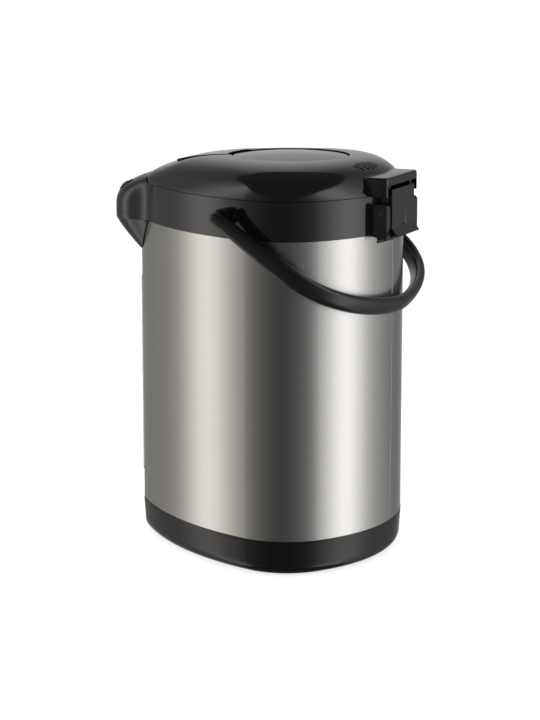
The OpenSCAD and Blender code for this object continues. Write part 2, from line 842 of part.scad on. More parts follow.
module impeller() {
    blades = 6;
    low = pump_z + 2.5;
    color("#cfd6dc")
        at_pump()
            difference() {
                union() {
                    translate([0, 0, low])
                        cylinder(r = 13, h = 3);
                    translate([0, 0, low + 2])
                        cylinder(r = 3.4, h = 7);
                    for (k = [0:blades - 1])
                        rotate([0, 0, 360 * k / blades])
                            translate([2, -0.6, low + 2])
                                cube([10.5, 1.2, 6]);
                }
                translate([0, 0, low - 1])
                    cylinder(r = 1.2 + running_gap, h = 20);
            }
}

// a quarter bend in the YZ plane about a centre, from -Z-pointing to -Y-pointing sides
module bend(outer, inner, radius, angle) {
    rotate([90, 0, 90])
        rotate_extrude(angle = angle)
            translate([radius, 0])
                difference() {
                    circle(r = outer);
                    circle(r = inner);
                }
}

module y_tube(outer, inner, y0, y1, z) {
    translate([0, y1, z])
        rotate([90, 0, 0])
            difference() {
                cylinder(r = outer, h = y1 - y0);
                translate([0, 0, -1])
                    cylinder(r = inner, h = y1 - y0 + 2);
            }
}

module outlet_hose() {
    color("#e9e4da") {
        // slips over the pump's outlet stub
        y_tube(hose_r, 4.5 + 0.1, riser_y + bend_r + 8, pump_y - pump_r - 1, hose_z);
        y_tube(hose_r, 3.4, riser_y + bend_r, riser_y + bend_r + 8, hose_z);
        translate([0, riser_y + bend_r, hose_z + bend_r])
            rotate([180, 0, 0])
                bend(hose_r, 3.4, bend_r, 90);
        translate([0, riser_y, 0]) {
            tube(hose_r, 3.4, hose_z + bend_r, hose_top);
            tube(hose_r, riser_r + 0.1, hose_top, hose_top + 6);
        }
    }
}

module riser_tube() {
    color(clear)
        translate([0, riser_y, 0])
            tube(riser_r, riser_r - 1, hose_top + seat_gap, elbow_z - seat_gap);
}

module spout_elbow() {
    reach = (riser_y - nozzle_y) / 2;
    r = nozzle_bore_r - 0.4;
    color("#e9e4da") {
        translate([0, riser_y - reach, elbow_z])
            bend(hose_r, r, reach, 180);
        translate([0, riser_y, 0])
            tube(hose_r, riser_r + 0.1, elbow_z - 6, elbow_z);
    }
}

module spout_nozzle() {
    color("#2a2b2e")
        translate([0, nozzle_y, 0])
            tube(nozzle_bore_r + nozzle_wall, nozzle_bore_r, nozzle_z, elbow_z);
}

// ==== level window ====
module level_window() {
    color(clear) {
        intersection() {
            body_ring(jacket_inset - 1.2, jacket_inset - 0.1, window_z - 3, window_z + window_h + 3);
            translate([-window_half_w - 2.5, -front_y - 10, 0])
                cube([2 * window_half_w + 5, 30, deck_z]);
        }
        intersection() {
            body_ring(jacket_inset - 0.6, jacket_inset + 2.2,
                window_z + seat_gap, window_z + window_h - seat_gap);
            translate([-window_half_w + seat_gap, -front_y - 10, 0])
                cube([2 * (window_half_w - seat_gap), 30, deck_z]);
        }
    }
}

// ==== control panel, on the snout's sloping top ====
button_r = 3.6;
button_places = [-9.5, 0, 9.5];
button_travel = 1.2;
button_proud = 1.6;
lamp_r = 1.4;
lamp_places = [-4.75, 4.75];
lamp_up = 6;
panel_tilt = 36;
panel_y = -front_y - snout_out + snout_rake * lean(deck_z - 3.6);

module on_panel() {
    translate([0, panel_y, deck_z - 3.6])
        rotate([panel_tilt, 0, 0])
            children();
}

panel_w = 30;
panel_d = 15;
panel_up = 1.6;
panel_corner = 4;
panel_t = 1.6;
panel_sink = 3.4;
seat_t = 2;

module control_panel() {
    color(gloss_black)
        difference() {
            on_panel()
                translate([0, panel_up, -panel_sink])
                    rounded_bar(panel_w, panel_d, panel_t, panel_corner);
            on_panel() {
                for (x = button_places)
                    translate([x, 0, -8])
                        cylinder(r = button_r + moving_gap, h = 16);
                for (x = lamp_places)
                    translate([x, lamp_up, -8])
                        cylinder(r = lamp_r + 0.1, h = 16);
            }
        }
}

module control_board() {
    color("#2f6b46")
        translate([-30, 34, flange_z + 6.4]) {
            cube([60, 48, 1.6]);
            translate([6, 8, 1.6])
                cube([18, 15, 13]);
            translate([42, 14, 1.6])
                cylinder(r = 6, h = 12);
            translate([10, 34, 1.6])
                cube([24, 8, 6]);
        }
}

module panel_lamps() {
    color("#d8552f")
        on_panel()
            for (x = lamp_places)
                translate([x, lamp_up, -panel_sink - 1.5])
                    cylinder(r = lamp_r, h = panel_t + 1.8);
}

module button(x, tint) {
    foot = -panel_sink - seat_t - moving_gap;
    color(tint)
        on_panel()
            translate([x, 0, 0]) {
                translate([0, 0, foot - 1.2])
                    cylinder(r = button_r + 1, h = 1.2);
                translate([0, 0, foot - 0.5])
                    cylinder(r = button_r, h = panel_t - panel_sink + button_proud - foot + 0.5);
            }
}

module button_dispense() { button(button_places[1], "#c9ccd2"); }
module button_boil() { button(button_places[0], "#83878f"); }
module button_lock() { button(button_places[2], "#83878f"); }

// ==== power inlet ====
module inlet_block(w, h, x0, x1) {
    translate([x0, inlet_y - w / 2, inlet_z - h / 2])
        cube([x1 - x0, w, h]);
}

module power_inlet() {
    face = -body_w / 2;
    color(black)
        difference() {
            union() {
                difference() {
                    inlet_block(inlet_w + 8, inlet_h + 6, face - 1.8, face + 14);
                    body_prism(jacket_inset - 0.2, base_h, jacket_top);
                }
                inlet_block(inlet_w, inlet_h, face - 1, face + 20);
            }
            inlet_block(inlet_w - 6, inlet_h - 6, face - 10, face + 17);
            for (y = [-7, 7])
                translate([face + 10, inlet_y + y, inlet_z])
                    rotate([0, 90, 0])
                        cylinder(r = 1.55, h = 14);
        }
}

module inlet_pins() {
    color("#c8b06a")
        for (y = [-7, 7])
            translate([-body_w / 2 + 6, inlet_y + y, inlet_z])
                rotate([0, 90, 0])
                    cylinder(r = 1.5, h = 18);
}

// ==== lid shell ====
plate_c = [0, plate_y];
hole_r = plate_r + 1;
dome_pow = 6.5;
dome_root = 1.16;
front_pow = 3.7;
edge_h = 0.6;

// height of the dome at a share of the way from the push plate's axis to the outline
function front_share(p) = 1 / (1 + exp((p.y + 95) / 5));
function dome_z(f, p) = let (w = front_share(p), top = lid_top,
    side_drop = (lid_rise - edge_h) * (1 - pow(1 - pow(min(f, 1), dome_pow), 1 / dome_root)),
    front_drop = (lid_rise - lid_lip_h) * pow(f, front_pow))
    top - (1 - w) * side_drop - w * front_drop;
dome_steps = [0, 0.3, 0.52, 0.68, 0.8, 0.88, 0.935, 0.97, 0.99, 1];
function dome_ring(k, inset, drop) = let (ring = closed(lid_half(0)), skin = closed(lid_half(inset)))
    [for (i = [0:len(ring) - 1])
        let (p = ring[i], q = skin[i], g = (hole_r - 2) / norm(p - plate_c), f = g + (1 - g) * k,
            s = plate_c + (q - plate_c) * f)
        [s.x, s.y, max(dome_z(f, p) - drop, lid_z)]];
lid_rings = concat(
    [at_z(closed(lid_half(0)), lid_z)],
    [for (j = [len(dome_steps) - 1:-1:0]) dome_ring(dome_steps[j], 0, 0)],
    [for (k = [0, 0.35, 0.6, 0.78, 0.88, 0.94]) dome_ring(k, wall, wall)],
    [for (z = [lid_z + 2.8, lid_z]) at_z(closed(lid_half(wall)), z)]);

housing_half_w = ears_half_w;
housing_front = pocket_y + 2;
housing_back = hinge_y + 5.3;
housing_round = 4;
roof_z = hinge_z + 29.5;
roof_t = 2.4;
arm_in = pocket_half_w - 4.4;
arm_out = pocket_half_w - 0.3;
lever_gap = 0.5;
vent_w = 3;
// each slot's X, the Y of its middle and its length: a round group beside the centre
vents = [[26, 93.4, 10], [19.2, 93.7, 13.5], [12.4, 94, 15], [5.6, 94.3, 13.5], [-1.2, 94.6, 10]];
vent_turn = 32;

module lid_shell() {
    side_t = 2.4;
    color(gloss_black)
        difference() {
            union() {
                ring_loop(lid_rings);
                // rear housing over the hinge
                difference() {
                    translate([0, (housing_front + housing_back) / 2, deck_z - 1])
                        rounded_bar(2 * housing_half_w, housing_back - housing_front,
                            roof_z - deck_z + 1, housing_round);
                    // the side walls stand over the deck, and drop a little behind it
                    translate([-60, housing_front - 1, deck_z - 2])
                        cube([120, hinge_y - 4.8 - housing_front + 1, 2 + moving_gap]);
                }
            }
            // hollow of the housing, open below and behind
            translate([-housing_half_w + side_t, housing_front - 1, 0])
                cube([2 * (housing_half_w - side_t), housing_back - housing_front - 1, roof_z - roof_t]);
            translate([-housing_half_w + side_t, housing_front - 1, 0])
                cube([2 * (housing_half_w - side_t), 60, roof_z - 7]);
            translate([0, plate_y, lid_z])
                cylinder(r = hole_r, h = 60);
            lever_opening();
            // latch slot in the front edge
            translate([-latch_half_w - 0.4, -lid_front - 2, latch_z - 0.3])
                cube([2 * latch_half_w + 0.8, 12, latch_t + 0.6]);
            // vent slots
            for (v = vents)
                translate([v.x, v.y, lid_z + 12])
                    rotate(vent_turn)
                        translate([-vent_w / 2, -v.z / 2, 0])
                            cube([vent_w, v.z, 40]);
            at_hinge()
                x_rod(pin_r + running_gap, -arm_out - 1, arm_out + 1);
        }
    color(gloss_black)
        lid_arms();
}

arm_back = 2.8;

module lid_arms() {
    r = 6.5;
    for (x = [-arm_out, arm_in])
        at_hinge()
            difference() {
                union() {
                    x_rod(r, x, x + arm_out - arm_in);
                    translate([x, -r, 0])
                        cube([arm_out - arm_in, r + arm_back, roof_z - hinge_z - roof_t + 0.4]);
                }
                x_rod(pin_r + running_gap, x - 1, x + 10);
                translate([x - 1, arm_back, -r - 1])
                    cube([10, r, 3 * r]);
            }
}

module lever_opening() {
    translate([-lever_half_w - lever_gap, -lever_front - lever_gap, lid_z + 8])
        cube([2 * (lever_half_w + lever_gap), lever_front - 10, 60]);
}

// ==== lid underside: plug, pump well and seal seat ====
plug_r = pot_r - 1.5;
plug_z = lid_z - plug_depth;
well_in = plate_r + 1;
well_wall = 2;
steam_y = pot_y + plug_r - 7;
seal_out = pot_r + 3;
board_z = lid_z + 0.3;
board_t = 2;

module underside_outline(inset, z0, z1) {
    translate([0, 0, z0])
        linear_extrude(z1 - z0)
            polygon(closed(lid_half(inset)));
}

module lid_underside() {
    well_top = lid_top - 5.6;
    color("#b8bcc2")
        difference() {
            union() {
                difference() {
                    underside_outline(wall + seat_gap, board_z, board_z + board_t);
                    // room for the hinge and the latch
                    translate([-housing_half_w - 1, housing_front - 2, 0])
                        cube([2 * housing_half_w + 2, 60, lid_top]);
                    translate([-latch_half_w - 0.5, -lid_front, board_z + board_t - 0.2])
                        cube([2 * latch_half_w + 1, 20, 5]);
                }
                translate([0, pot_y, 0]) {
                    translate([0, 0, rim_z + 4.3])
                        cylinder(r = pot_r + 4.5, h = board_z + 1 - rim_z - 4.3);
                    translate([0, 0, plug_z])
                        cylinder(r = plug_r, h = board_z - plug_z + 1);
                }
                translate([0, plate_y, plug_z])
                    cylinder(r = well_in + well_wall, h = well_top - plug_z);
                // lugs that hold the lever's pin, on the front of the well
                for (x = [-lug_out, lug_in])
                    translate([x, lever_pin_y, lever_pin_z]) {
                        x_rod(lug_r, 0, lug_out - lug_in);
                        translate([0, -lug_r, -6])
                            cube([lug_out - lug_in, plate_y - well_in - lever_pin_y + lug_r, 6]);
                    }
            }
            translate([0, lever_pin_y, lever_pin_z])
                x_rod(lever_pin_r + seat_gap / 4, -lug_out - 1, lug_out + 1);
            // pump well
            translate([0, plate_y, plug_z + well_wall])
                cylinder(r = well_in, h = 100);
            translate([0, plate_y, plug_z - 1])
                cylinder(r = 5, h = 10);
            // hollow round the well
            difference() {
                translate([0, pot_y, plug_z + well_wall])
                    cylinder(r = plug_r - well_wall, h = 100);
                translate([0, plate_y, plug_z])
                    cylinder(r = well_in + well_wall, h = 101);
            }
            translate([0, steam_y, plug_z - 1])
                cylinder(r = 5 + seat_gap / 2, h = 20);
            at_plate_screws()
                translate([0, 0, plug_z - 1])
                    cylinder(r = 1.55, h = 10);
        }
}

module at_plate_screws() {
    for (a = [20, 160, 270])
        translate([(plug_r - 8) * cos(a), pot_y + (plug_r - 8) * sin(a), 0])
            children();
}

module lid_seal() {
    color("#d8d4cc")
        translate([0, pot_y, 0])
            tube(seal_out, plug_r + seat_gap, rim_z + 0.3, rim_z + 4.3);
}

lid_plate_t = 0.8;
module lid_plate() {
    color("#c9c9c6")
        difference() {
            translate([0, pot_y, plug_z - lid_plate_t])
                cylinder(r = plug_r - 0.5, h = lid_plate_t);
            translate([0, steam_y, plug_z - 5])
                cylinder(r = 4, h = 10);
            translate([0, plate_y, plug_z - 5])
                cylinder(r = 5, h = 10);
            at_plate_screws()
                translate([0, 0, plug_z - 5])
                    cylinder(r = 1.7, h = 10);
        }
}

module lid_plate_screws() {
    color(steel)
        at_plate_screws() {
            translate([0, 0, plug_z - lid_plate_t - 1.2])
                cylinder(r = 3, h = 1.2);
            translate([0, 0, plug_z - lid_plate_t - 0.5])
                cylinder(r = 1.5, h = 4);
        }
}

module steam_duct() {
    color("#b8bcc2")
        translate([0, steam_y, 0])
            tube(5, 3.6, plug_z, lid_top - 12);
}

// ==== lid lever and latch ====
lever_pin_y = -36;
lever_pin_z = lid_top - 6.5;
lever_pin_r = 1.5;
lever_t = 2.4;
lever_raise = 0.7;
knuckle_w = 4;
knuckle_out = 12;
lug_in = knuckle_out + moving_gap + 0.2;
lug_out = lug_in + 3;
lug_r = 2.7;

function lever_z(y) = let (f = (plate_y - y) / (plate_y + lid_front))
    lid_top - (lid_rise - lid_lip_h) * pow(f, front_pow) + lever_raise;
lever_line = [for (i = [0:8]) let (y = -lever_front + i * (lever_front - 20) / 8) [y, lever_z(y)]];

module lid_lever() {
    r = 3.2;
    color(gloss_black)
        difference() {
            union() {
                // the strip follows the dome
                difference() {
                    translate([-lever_half_w, 0, 0])
                        rotate([90, 0, 90])
                            linear_extrude(2 * lever_half_w)
                                polygon(concat(lever_line,
                                    [for (i = [8:-1:0]) lever_line[i] - [0, lever_t]]));
                    translate([0, plate_y, 0])
                        cylinder(r = hole_r + 3.5, h = 500);
                }
                // two knuckles on the pin
                for (x = [-knuckle_out, knuckle_out - knuckle_w])
                    translate([x, lever_pin_y, lever_pin_z]) {
                        x_rod(r, 0, knuckle_w);
                        translate([0, -r, 0])
                            cube([knuckle_w, 1.5 * r, lever_z(lever_pin_y) - lever_pin_z - 1]);
                    }
            }
            translate([0, lever_pin_y, lever_pin_z])
                x_rod(lever_pin_r + running_gap, -lug_out, lug_out);
        }
}

module lever_pin() {
    color(steel)
        translate([0, lever_pin_y, lever_pin_z])
            x_rod(lever_pin_r, -lug_out, lug_out);
}

latch_tip = lid_front;
latch_back = 74;
latch_travel = 4;
module lid_latch() {
    color("#2a2b2e")
        difference() {
            translate([-latch_half_w, -latch_tip, latch_z])
                cube([2 * latch_half_w, latch_tip - latch_back, latch_t]);
            translate([-4, -latch_back - 14, latch_z - 1])
                cube([8, 8, 5]);
        }
}

// ==== pump ====
plate_edge_z = lid_top - 1.2;
crown_r = (plate_r * plate_r + plate_crown * plate_crown) / (2 * plate_crown);
function crown_z(r) = plate_edge_z + plate_crown - crown_r + sqrt(crown_r * crown_r - r * r);

module push_plate() {
    skirt_h = 6.5;
    t = 2.2;
    rim_round = 0.8;
    low = plate_edge_z - skirt_h;
    radii = [for (i = [0:6]) (plate_r - rim_round) * i / 6];
    color(gloss_black)
        translate([0, plate_y, 0])
            rotate_extrude($fn = 120)
                polygon(concat(
                    [for (r = radii) [r, crown_z(r)]],
                    [[plate_r, crown_z(plate_r - rim_round) - rim_round], [plate_r, low],
                        [plate_r - t, low], [plate_r - t, plate_edge_z - t], [0, plate_edge_z - t]]));
}

bellows_r = 42;
bellows_in = 37;
bellows_low = plug_z + well_wall;
bellows_top = plate_edge_z - 2.2 - moving_gap;
folds = 7;

bellows_t = 0.9;
// one side of the folds: in at the whole steps, out at the halves
function fold_line(valley, crest) = let (rise = (bellows_top - bellows_low - 3) / folds)
    [for (i = [0:2 * folds]) [i % 2 == 0 ? valley : crest, bellows_low + 1.5 + i * rise / 2]];
module bellows() {
    inside = fold_line(bellows_in, bellows_r - bellows_t);
    color("#55585c")
        translate([0, plate_y, 0]) {
            rotate_extrude()
                polygon(concat(fold_line(bellows_in + bellows_t, bellows_r),
                    [for (i = [2 * folds:-1:0]) inside[i]]));
            translate([0, 0, bellows_top - 1.6])
                cylinder(r = bellows_in + bellows_t, h = 1.6);
            tube(bellows_in + bellows_t, bellows_in - 5, bellows_low, bellows_low + 1.6);
        }
}

spring_r = 24;
wire_r = 1.3;
spring_turns = 6;
spring_steps = 16;
spring_sides = 6;
module pump_spring() {
    low = bellows_low + wire_r + 0.05;
    high = bellows_top - 1.65 - wire_r;
    n = spring_turns * spring_steps;
    color(steel)
        translate([0, plate_y, 0])
            ring_stack([for (i = [0:n])
                let (a = -360 * i / spring_steps, z = low + (high - low) * i / n)
                [for (j = [0:spring_sides - 1])
                    let (b = 360 * j / spring_sides, q = spring_r + wire_r * cos(b))
                    [q * cos(a), q * sin(a), z + wire_r * sin(b)]]]);
}

// ==== release lever ====
release_t = 2;
release_y = hinge_y + 3.8;
release_low = hinge_z - 15.5;
release_high = hinge_z + 18.9;
scoop_r = 9;
cheek_out = arm_in - moving_gap;
cheek_in = cheek_out - 2;

module release_lever() {
    color(black)
        difference() {
            union() {
                translate([-release_half_w, release_y, release_low])
                    cube([2 * release_half_w, release_t, release_high - release_low]);
                // bottom tab, sloping out
                translate([-release_half_w, 0, 0])
                    rotate([90, 0, 90])
                        linear_extrude(2 * release_half_w)
                            polygon([[release_y, release_low + 3], [release_y, release_low],
                                [release_y + 5.6, release_low - 5.6],
                                [release_y + 7.4, release_low - 5.2],
                                [release_y + release_t, release_low + 1.5],
                                [release_y + release_t, release_low + 3]]);
                for (x = [-cheek_out, cheek_in])
                    at_hinge() {
                        x_rod(5, x, x + cheek_out - cheek_in);
                        translate([x, 0, -5])
                            cube([cheek_out - cheek_in, release_y - hinge_y + 0.5, 10]);
                    }
            }
            // thumb scoop, deepest just over the tab
            translate([-3, release_y + release_t + scoop_r - 1.4, release_low + 2])
                rotate([-4, 0, 0])
                    cylinder(r = scoop_r, h = 30);
            at_hinge()
                x_rod(pin_r + running_gap, -cheek_out - 1, cheek_out + 1);
        }
}

base_shell();
bottom_plate();
foot_ring();
base_screws();
steel_jacket();
collar();
nose_chin();
hinge_bracket();
hinge_pin();
pin_clip();
handle_pivots();
inner_pot();
neck_seal();
insulation_sleeve();
heater();
thermostat();
pump_housing();
impeller();
pump_motor();
motor_magnet();
outlet_hose();
riser_tube();
spout_elbow();
spout_nozzle();
level_window();
control_panel();
control_board();
panel_lamps();
button_dispense();
button_boil();
button_lock();
power_inlet();
inlet_pins();
lid_shell();
lid_underside();
lid_seal();
lid_plate();
lid_plate_screws();
steam_duct();
lid_lever();
lever_pin();
lid_latch();
push_plate();
bellows();
pump_spring();
release_lever();
bail_handle();
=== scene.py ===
import bpy
import bmesh
import json
import math
import numpy as np
from mathutils import Matrix, Vector


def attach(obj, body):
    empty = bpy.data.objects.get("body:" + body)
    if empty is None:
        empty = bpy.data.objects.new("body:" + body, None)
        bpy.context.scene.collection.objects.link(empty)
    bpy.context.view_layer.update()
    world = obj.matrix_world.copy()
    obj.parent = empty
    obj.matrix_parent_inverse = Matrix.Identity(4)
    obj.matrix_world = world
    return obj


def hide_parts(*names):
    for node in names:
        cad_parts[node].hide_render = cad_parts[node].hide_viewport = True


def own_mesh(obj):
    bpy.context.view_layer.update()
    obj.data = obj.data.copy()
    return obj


# The visual model of an electric thermo pot, in mm, around the frame of its construction.
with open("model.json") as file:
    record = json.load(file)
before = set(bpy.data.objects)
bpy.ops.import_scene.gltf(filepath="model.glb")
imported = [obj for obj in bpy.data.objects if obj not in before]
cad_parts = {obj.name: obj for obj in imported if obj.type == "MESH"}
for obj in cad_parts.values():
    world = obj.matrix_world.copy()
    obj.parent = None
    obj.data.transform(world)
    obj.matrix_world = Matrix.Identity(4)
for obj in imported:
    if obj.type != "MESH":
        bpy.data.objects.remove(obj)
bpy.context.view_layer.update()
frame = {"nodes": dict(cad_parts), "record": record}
NODES = frame["nodes"]
MM = 0.001

# ---- sizes in mm, the same as the construction's ----
BODY_W, REAR_Y, FRONT_Y = 217.2, 115.2, 121.4
REAR_R, CORNER_R, FLANK_R, NOSE_R = 137.0, 59.5, 264.0, 30.2
BASE_H, JACKET_H, SHEET, COLLAR_H, WALL = 31.0, 254.5, 0.8, 32.7, 2.5
JACKET_TOP = BASE_H + JACKET_H
DECK = JACKET_TOP + COLLAR_H
SEAT, MOVE = 0.2, 0.4
LID_Z = DECK + MOVE
LID_RISE, LID_FRONT, LID_LIP = 27.1, 112.0, 6.2
LID_TOP = LID_Z + LID_RISE
POT_R, POT_Y = 75.5, 13.0
PLATE_R, PLATE_Y, PLATE_CROWN, PLATE_TRAVEL = 50.0, 20.0, 3.0, 20.0
STRIP_W, STRIP_FRONT = 22, 78
HINGE_Y, HINGE_Z, EARS_W = 118.2, DECK - 14.1, 36.4
BAIL_Y, PIVOT_Z, HANG = 5.1, DECK - 14.3, 34.5
PIN_HOLE_R = 1.55
HOSE_Y = -130.0
# steps of an outline's arcs are multiples of this
FINE = 5


# ---- outlines, by bearing clockwise from the rear ----
def bearing(a):
    return np.stack([np.sin(a), np.cos(a)], -1)


def arc(c, r, a, b, n):
    t = a + (b - a) * np.arange(n) / n
    return np.asarray(c) + r * bearing(t)


def bezier(p, n):
    t = (np.arange(n) / n)[:, None]
    u = 1 - t
    return u**3 * p[0] + 3 * u * u * t * p[1] + 3 * u * t * t * p[2] + t**3 * p[3]


REAR_C = np.array([0, REAR_Y - REAR_R])
REAR_T = math.asin((BODY_W / 2 - CORNER_R) / (REAR_R - CORNER_R))
CORNER_C = REAR_C + (REAR_R - CORNER_R) * bearing(REAR_T)
NOSE_C = np.array([0, NOSE_R - FRONT_Y])
# the flank touches the corner's and the nose's circles from outside
TO_CORNER, TO_NOSE = FLANK_R - CORNER_R, FLANK_R - NOSE_R
SPAN = float(np.linalg.norm(NOSE_C - CORNER_C))
CHORD = (NOSE_C - CORNER_C) / SPAN
ALONG = (TO_CORNER**2 - TO_NOSE**2 + SPAN**2) / (2 * SPAN)
ASIDE = math.sqrt(TO_CORNER**2 - ALONG**2)
FLANK_C = CORNER_C + ALONG * CHORD + ASIDE * np.array([CHORD[1], -CHORD[0]])
SIDE_T = math.atan2(*(CORNER_C - FLANK_C))
NOSE_T = math.atan2(*(NOSE_C - FLANK_C))
LEAVE, MEET, LID_LEAVE = math.radians(135), math.radians(100), math.radians(130.4)
SNOUT_R, SNOUT_OUT, RAKE, LEAN_H = 30.0, 24.8, 34.2, 31.5
SNOUT_C = np.array([0, SNOUT_R - FRONT_Y - SNOUT_OUT])
SNOUT_TOP = DECK + 7.3
SNOUT_Z = SNOUT_TOP - LEAN_H
# lengths of the curves' handles where the snout and the lid leave the flank
SNOUT_PULL, LID_PULL, LID_TIP_PULL = 9, 22, 24


def heading(a):
    return np.array([math.cos(a), -math.sin(a)])


def head(inset, flank_end, f=FINE):
    return [arc(REAR_C, REAR_R - inset, 0, REAR_T, 5 * f),
            arc(CORNER_C, CORNER_R - inset, REAR_T, SIDE_T, 9 * f),
            arc(FLANK_C, FLANK_R - inset, SIDE_T, flank_end, 7 * f)]


def closed(half):
    half = np.asarray(half)
    return np.concatenate([half, half[-2:0:-1] * [-1, 1]])


def body_ring(inset, f=FINE):
    return closed(np.concatenate(head(inset, NOSE_T, f) + [
        arc(NOSE_C, NOSE_R - inset, NOSE_T, math.pi, 9 * f), [NOSE_C - [0, NOSE_R - inset]]]))


def lip_ring(inset, f=FINE):
    return closed(np.concatenate(head(inset, LEAVE, f) + [
        arc(FLANK_C, FLANK_R - inset, LEAVE, NOSE_T, 5 * f),
        arc(NOSE_C, NOSE_R - inset, NOSE_T, math.pi, 9 * f), [NOSE_C - [0, NOSE_R - inset]]]))


def snout_front(inset, f=FINE):
    p0 = FLANK_C + (FLANK_R - inset) * bearing(LEAVE)
    p3 = SNOUT_C + (SNOUT_R - inset) * bearing(MEET)
    pull = [p0 + SNOUT_PULL * heading(LEAVE), p3 - SNOUT_PULL * heading(MEET)]
    return np.concatenate([bezier([p0, *pull, p3], 5 * f),
                           arc(SNOUT_C, SNOUT_R - inset, MEET, math.pi, 9 * f),
                           [SNOUT_C - [0, SNOUT_R - inset]]])


def snout_outline(inset, f=FINE):
    return closed(np.concatenate(head(inset, LEAVE, f) + [snout_front(inset, f)]))


def lid_edge(inset, f=FINE):
    p0 = FLANK_C + (FLANK_R - inset) * bearing(LID_LEAVE)
    p3 = np.array([0, inset - LID_FRONT])
    pull = [p0 + LID_PULL * heading(LID_LEAVE), p3 + [LID_TIP_PULL, 0]]
    return np.concatenate([bezier([p0, *pull, p3], 12 * f), [p3]])


def lid_outline(inset, f=FINE):
    return closed(np.concatenate(head(inset, LID_LEAVE, f) + [lid_edge(inset, f)]))


def at(ring, z):
    ring = np.asarray(ring)
    return np.column_stack([ring, np.broadcast_to(np.asarray(z, float), (len(ring),))])


def smooth(t):
    c = np.clip(t, 0, 1)
    return c * c * (3 - 2 * c)


# ---- meshes ----
def make(name, verts, faces):
    me = bpy.data.meshes.new(name)
    me.from_pydata([tuple(v) for v in np.asarray(verts, float) * MM], [], faces)
    ob = bpy.data.objects.new(name, me)
    bpy.context.scene.collection.objects.link(ob)
    bm = bmesh.new()
    bm.from_mesh(me)
    bmesh.ops.recalc_face_normals(bm, faces=bm.faces)
    bm.to_mesh(me)
    bm.free()
    return ob


def bands(n, m, wrap):
    rows = range(m if wrap else m - 1)
    faces = []
    for j in rows:
        low, top = j * n, (j + 1) % m * n
        faces += [(low + i, low + (i + 1) % n, top + (i + 1) % n, top + i) for i in range(n)]
    return faces


def loop_solid(name, rings):
    n, m = len(rings[0]), len(rings)
    return make(name, np.concatenate(rings), bands(n, m, True))


def stack_solid(name, rings):
    n, m = len(rings[0]), len(rings)
    caps = [tuple(range(n - 1, -1, -1)), tuple((m - 1) * n + i for i in range(n))]
    return make(name, np.concatenate(rings), bands(n, m, False) + caps)


def prism(name, outline, z0, z1):
    return stack_solid(name, [at(outline, z0), at(outline, z1)])


def block(name, lo, hi, edge=0.0, seg=4):
    (x0, y0, z0), (x1, y1, z1) = lo, hi
    ob = prism(name, [[x0, y0], [x1, y0], [x1, y1], [x0, y1]], z0, z1)
    if edge:
        bm = bmesh.new()
        bm.from_mesh(ob.data)
        bmesh.ops.bevel(bm, geom=list(bm.edges), offset=edge * MM, segments=seg, profile=0.5,
                        affect="EDGES")
        bm.to_mesh(ob.data)
        bm.free()
    return ob


def rod(name, r, a, b, n=64):
    """A cylinder between two points."""
    a, b = Vector(a), Vector(b)
    d = (b - a).normalized()
    u = d.orthogonal().normalized()
    v = d.cross(u)
    ang = [2 * math.pi * i / n for i in range(n)]
    rings = [[p + r * (math.cos(t) * u + math.sin(t) * v) for t in ang] for p in (a, b)]
    return stack_solid(name, [np.array(q) for q in rings])


def revolve(name, profile, c, n=160):
    """A closed profile of (radius, z) points turned about a vertical axis; radius 0 is kept tiny."""
    ang = np.arange(n) * 2 * math.pi / n
    around = np.column_stack([np.cos(ang), np.sin(ang)])
    return loop_solid(name, [at(np.asarray(c) + max(r, 0.02) * around, z) for r, z in profile])


def boolean(ob, others, op="DIFFERENCE"):
    for o in others:
        m = ob.modifiers.new("b", "BOOLEAN")
        m.operation, m.object, m.solver = op, o, "EXACT"
    bpy.context.view_layer.update()
    dg = bpy.context.evaluated_depsgraph_get()
    me = bpy.data.meshes.new_from_object(ob.evaluated_get(dg))
    old = ob.data
    ob.modifiers.clear()
    ob.data = me
    bpy.data.meshes.remove(old)
    for o in others:
        bpy.data.objects.remove(o)
    return ob


def turned(ob, matrix):
    ob.data.transform(matrix)
    return ob


def shade(me, angle):
    me.shade_smooth()
    me.set_sharp_from_angle(angle=math.radians(angle))


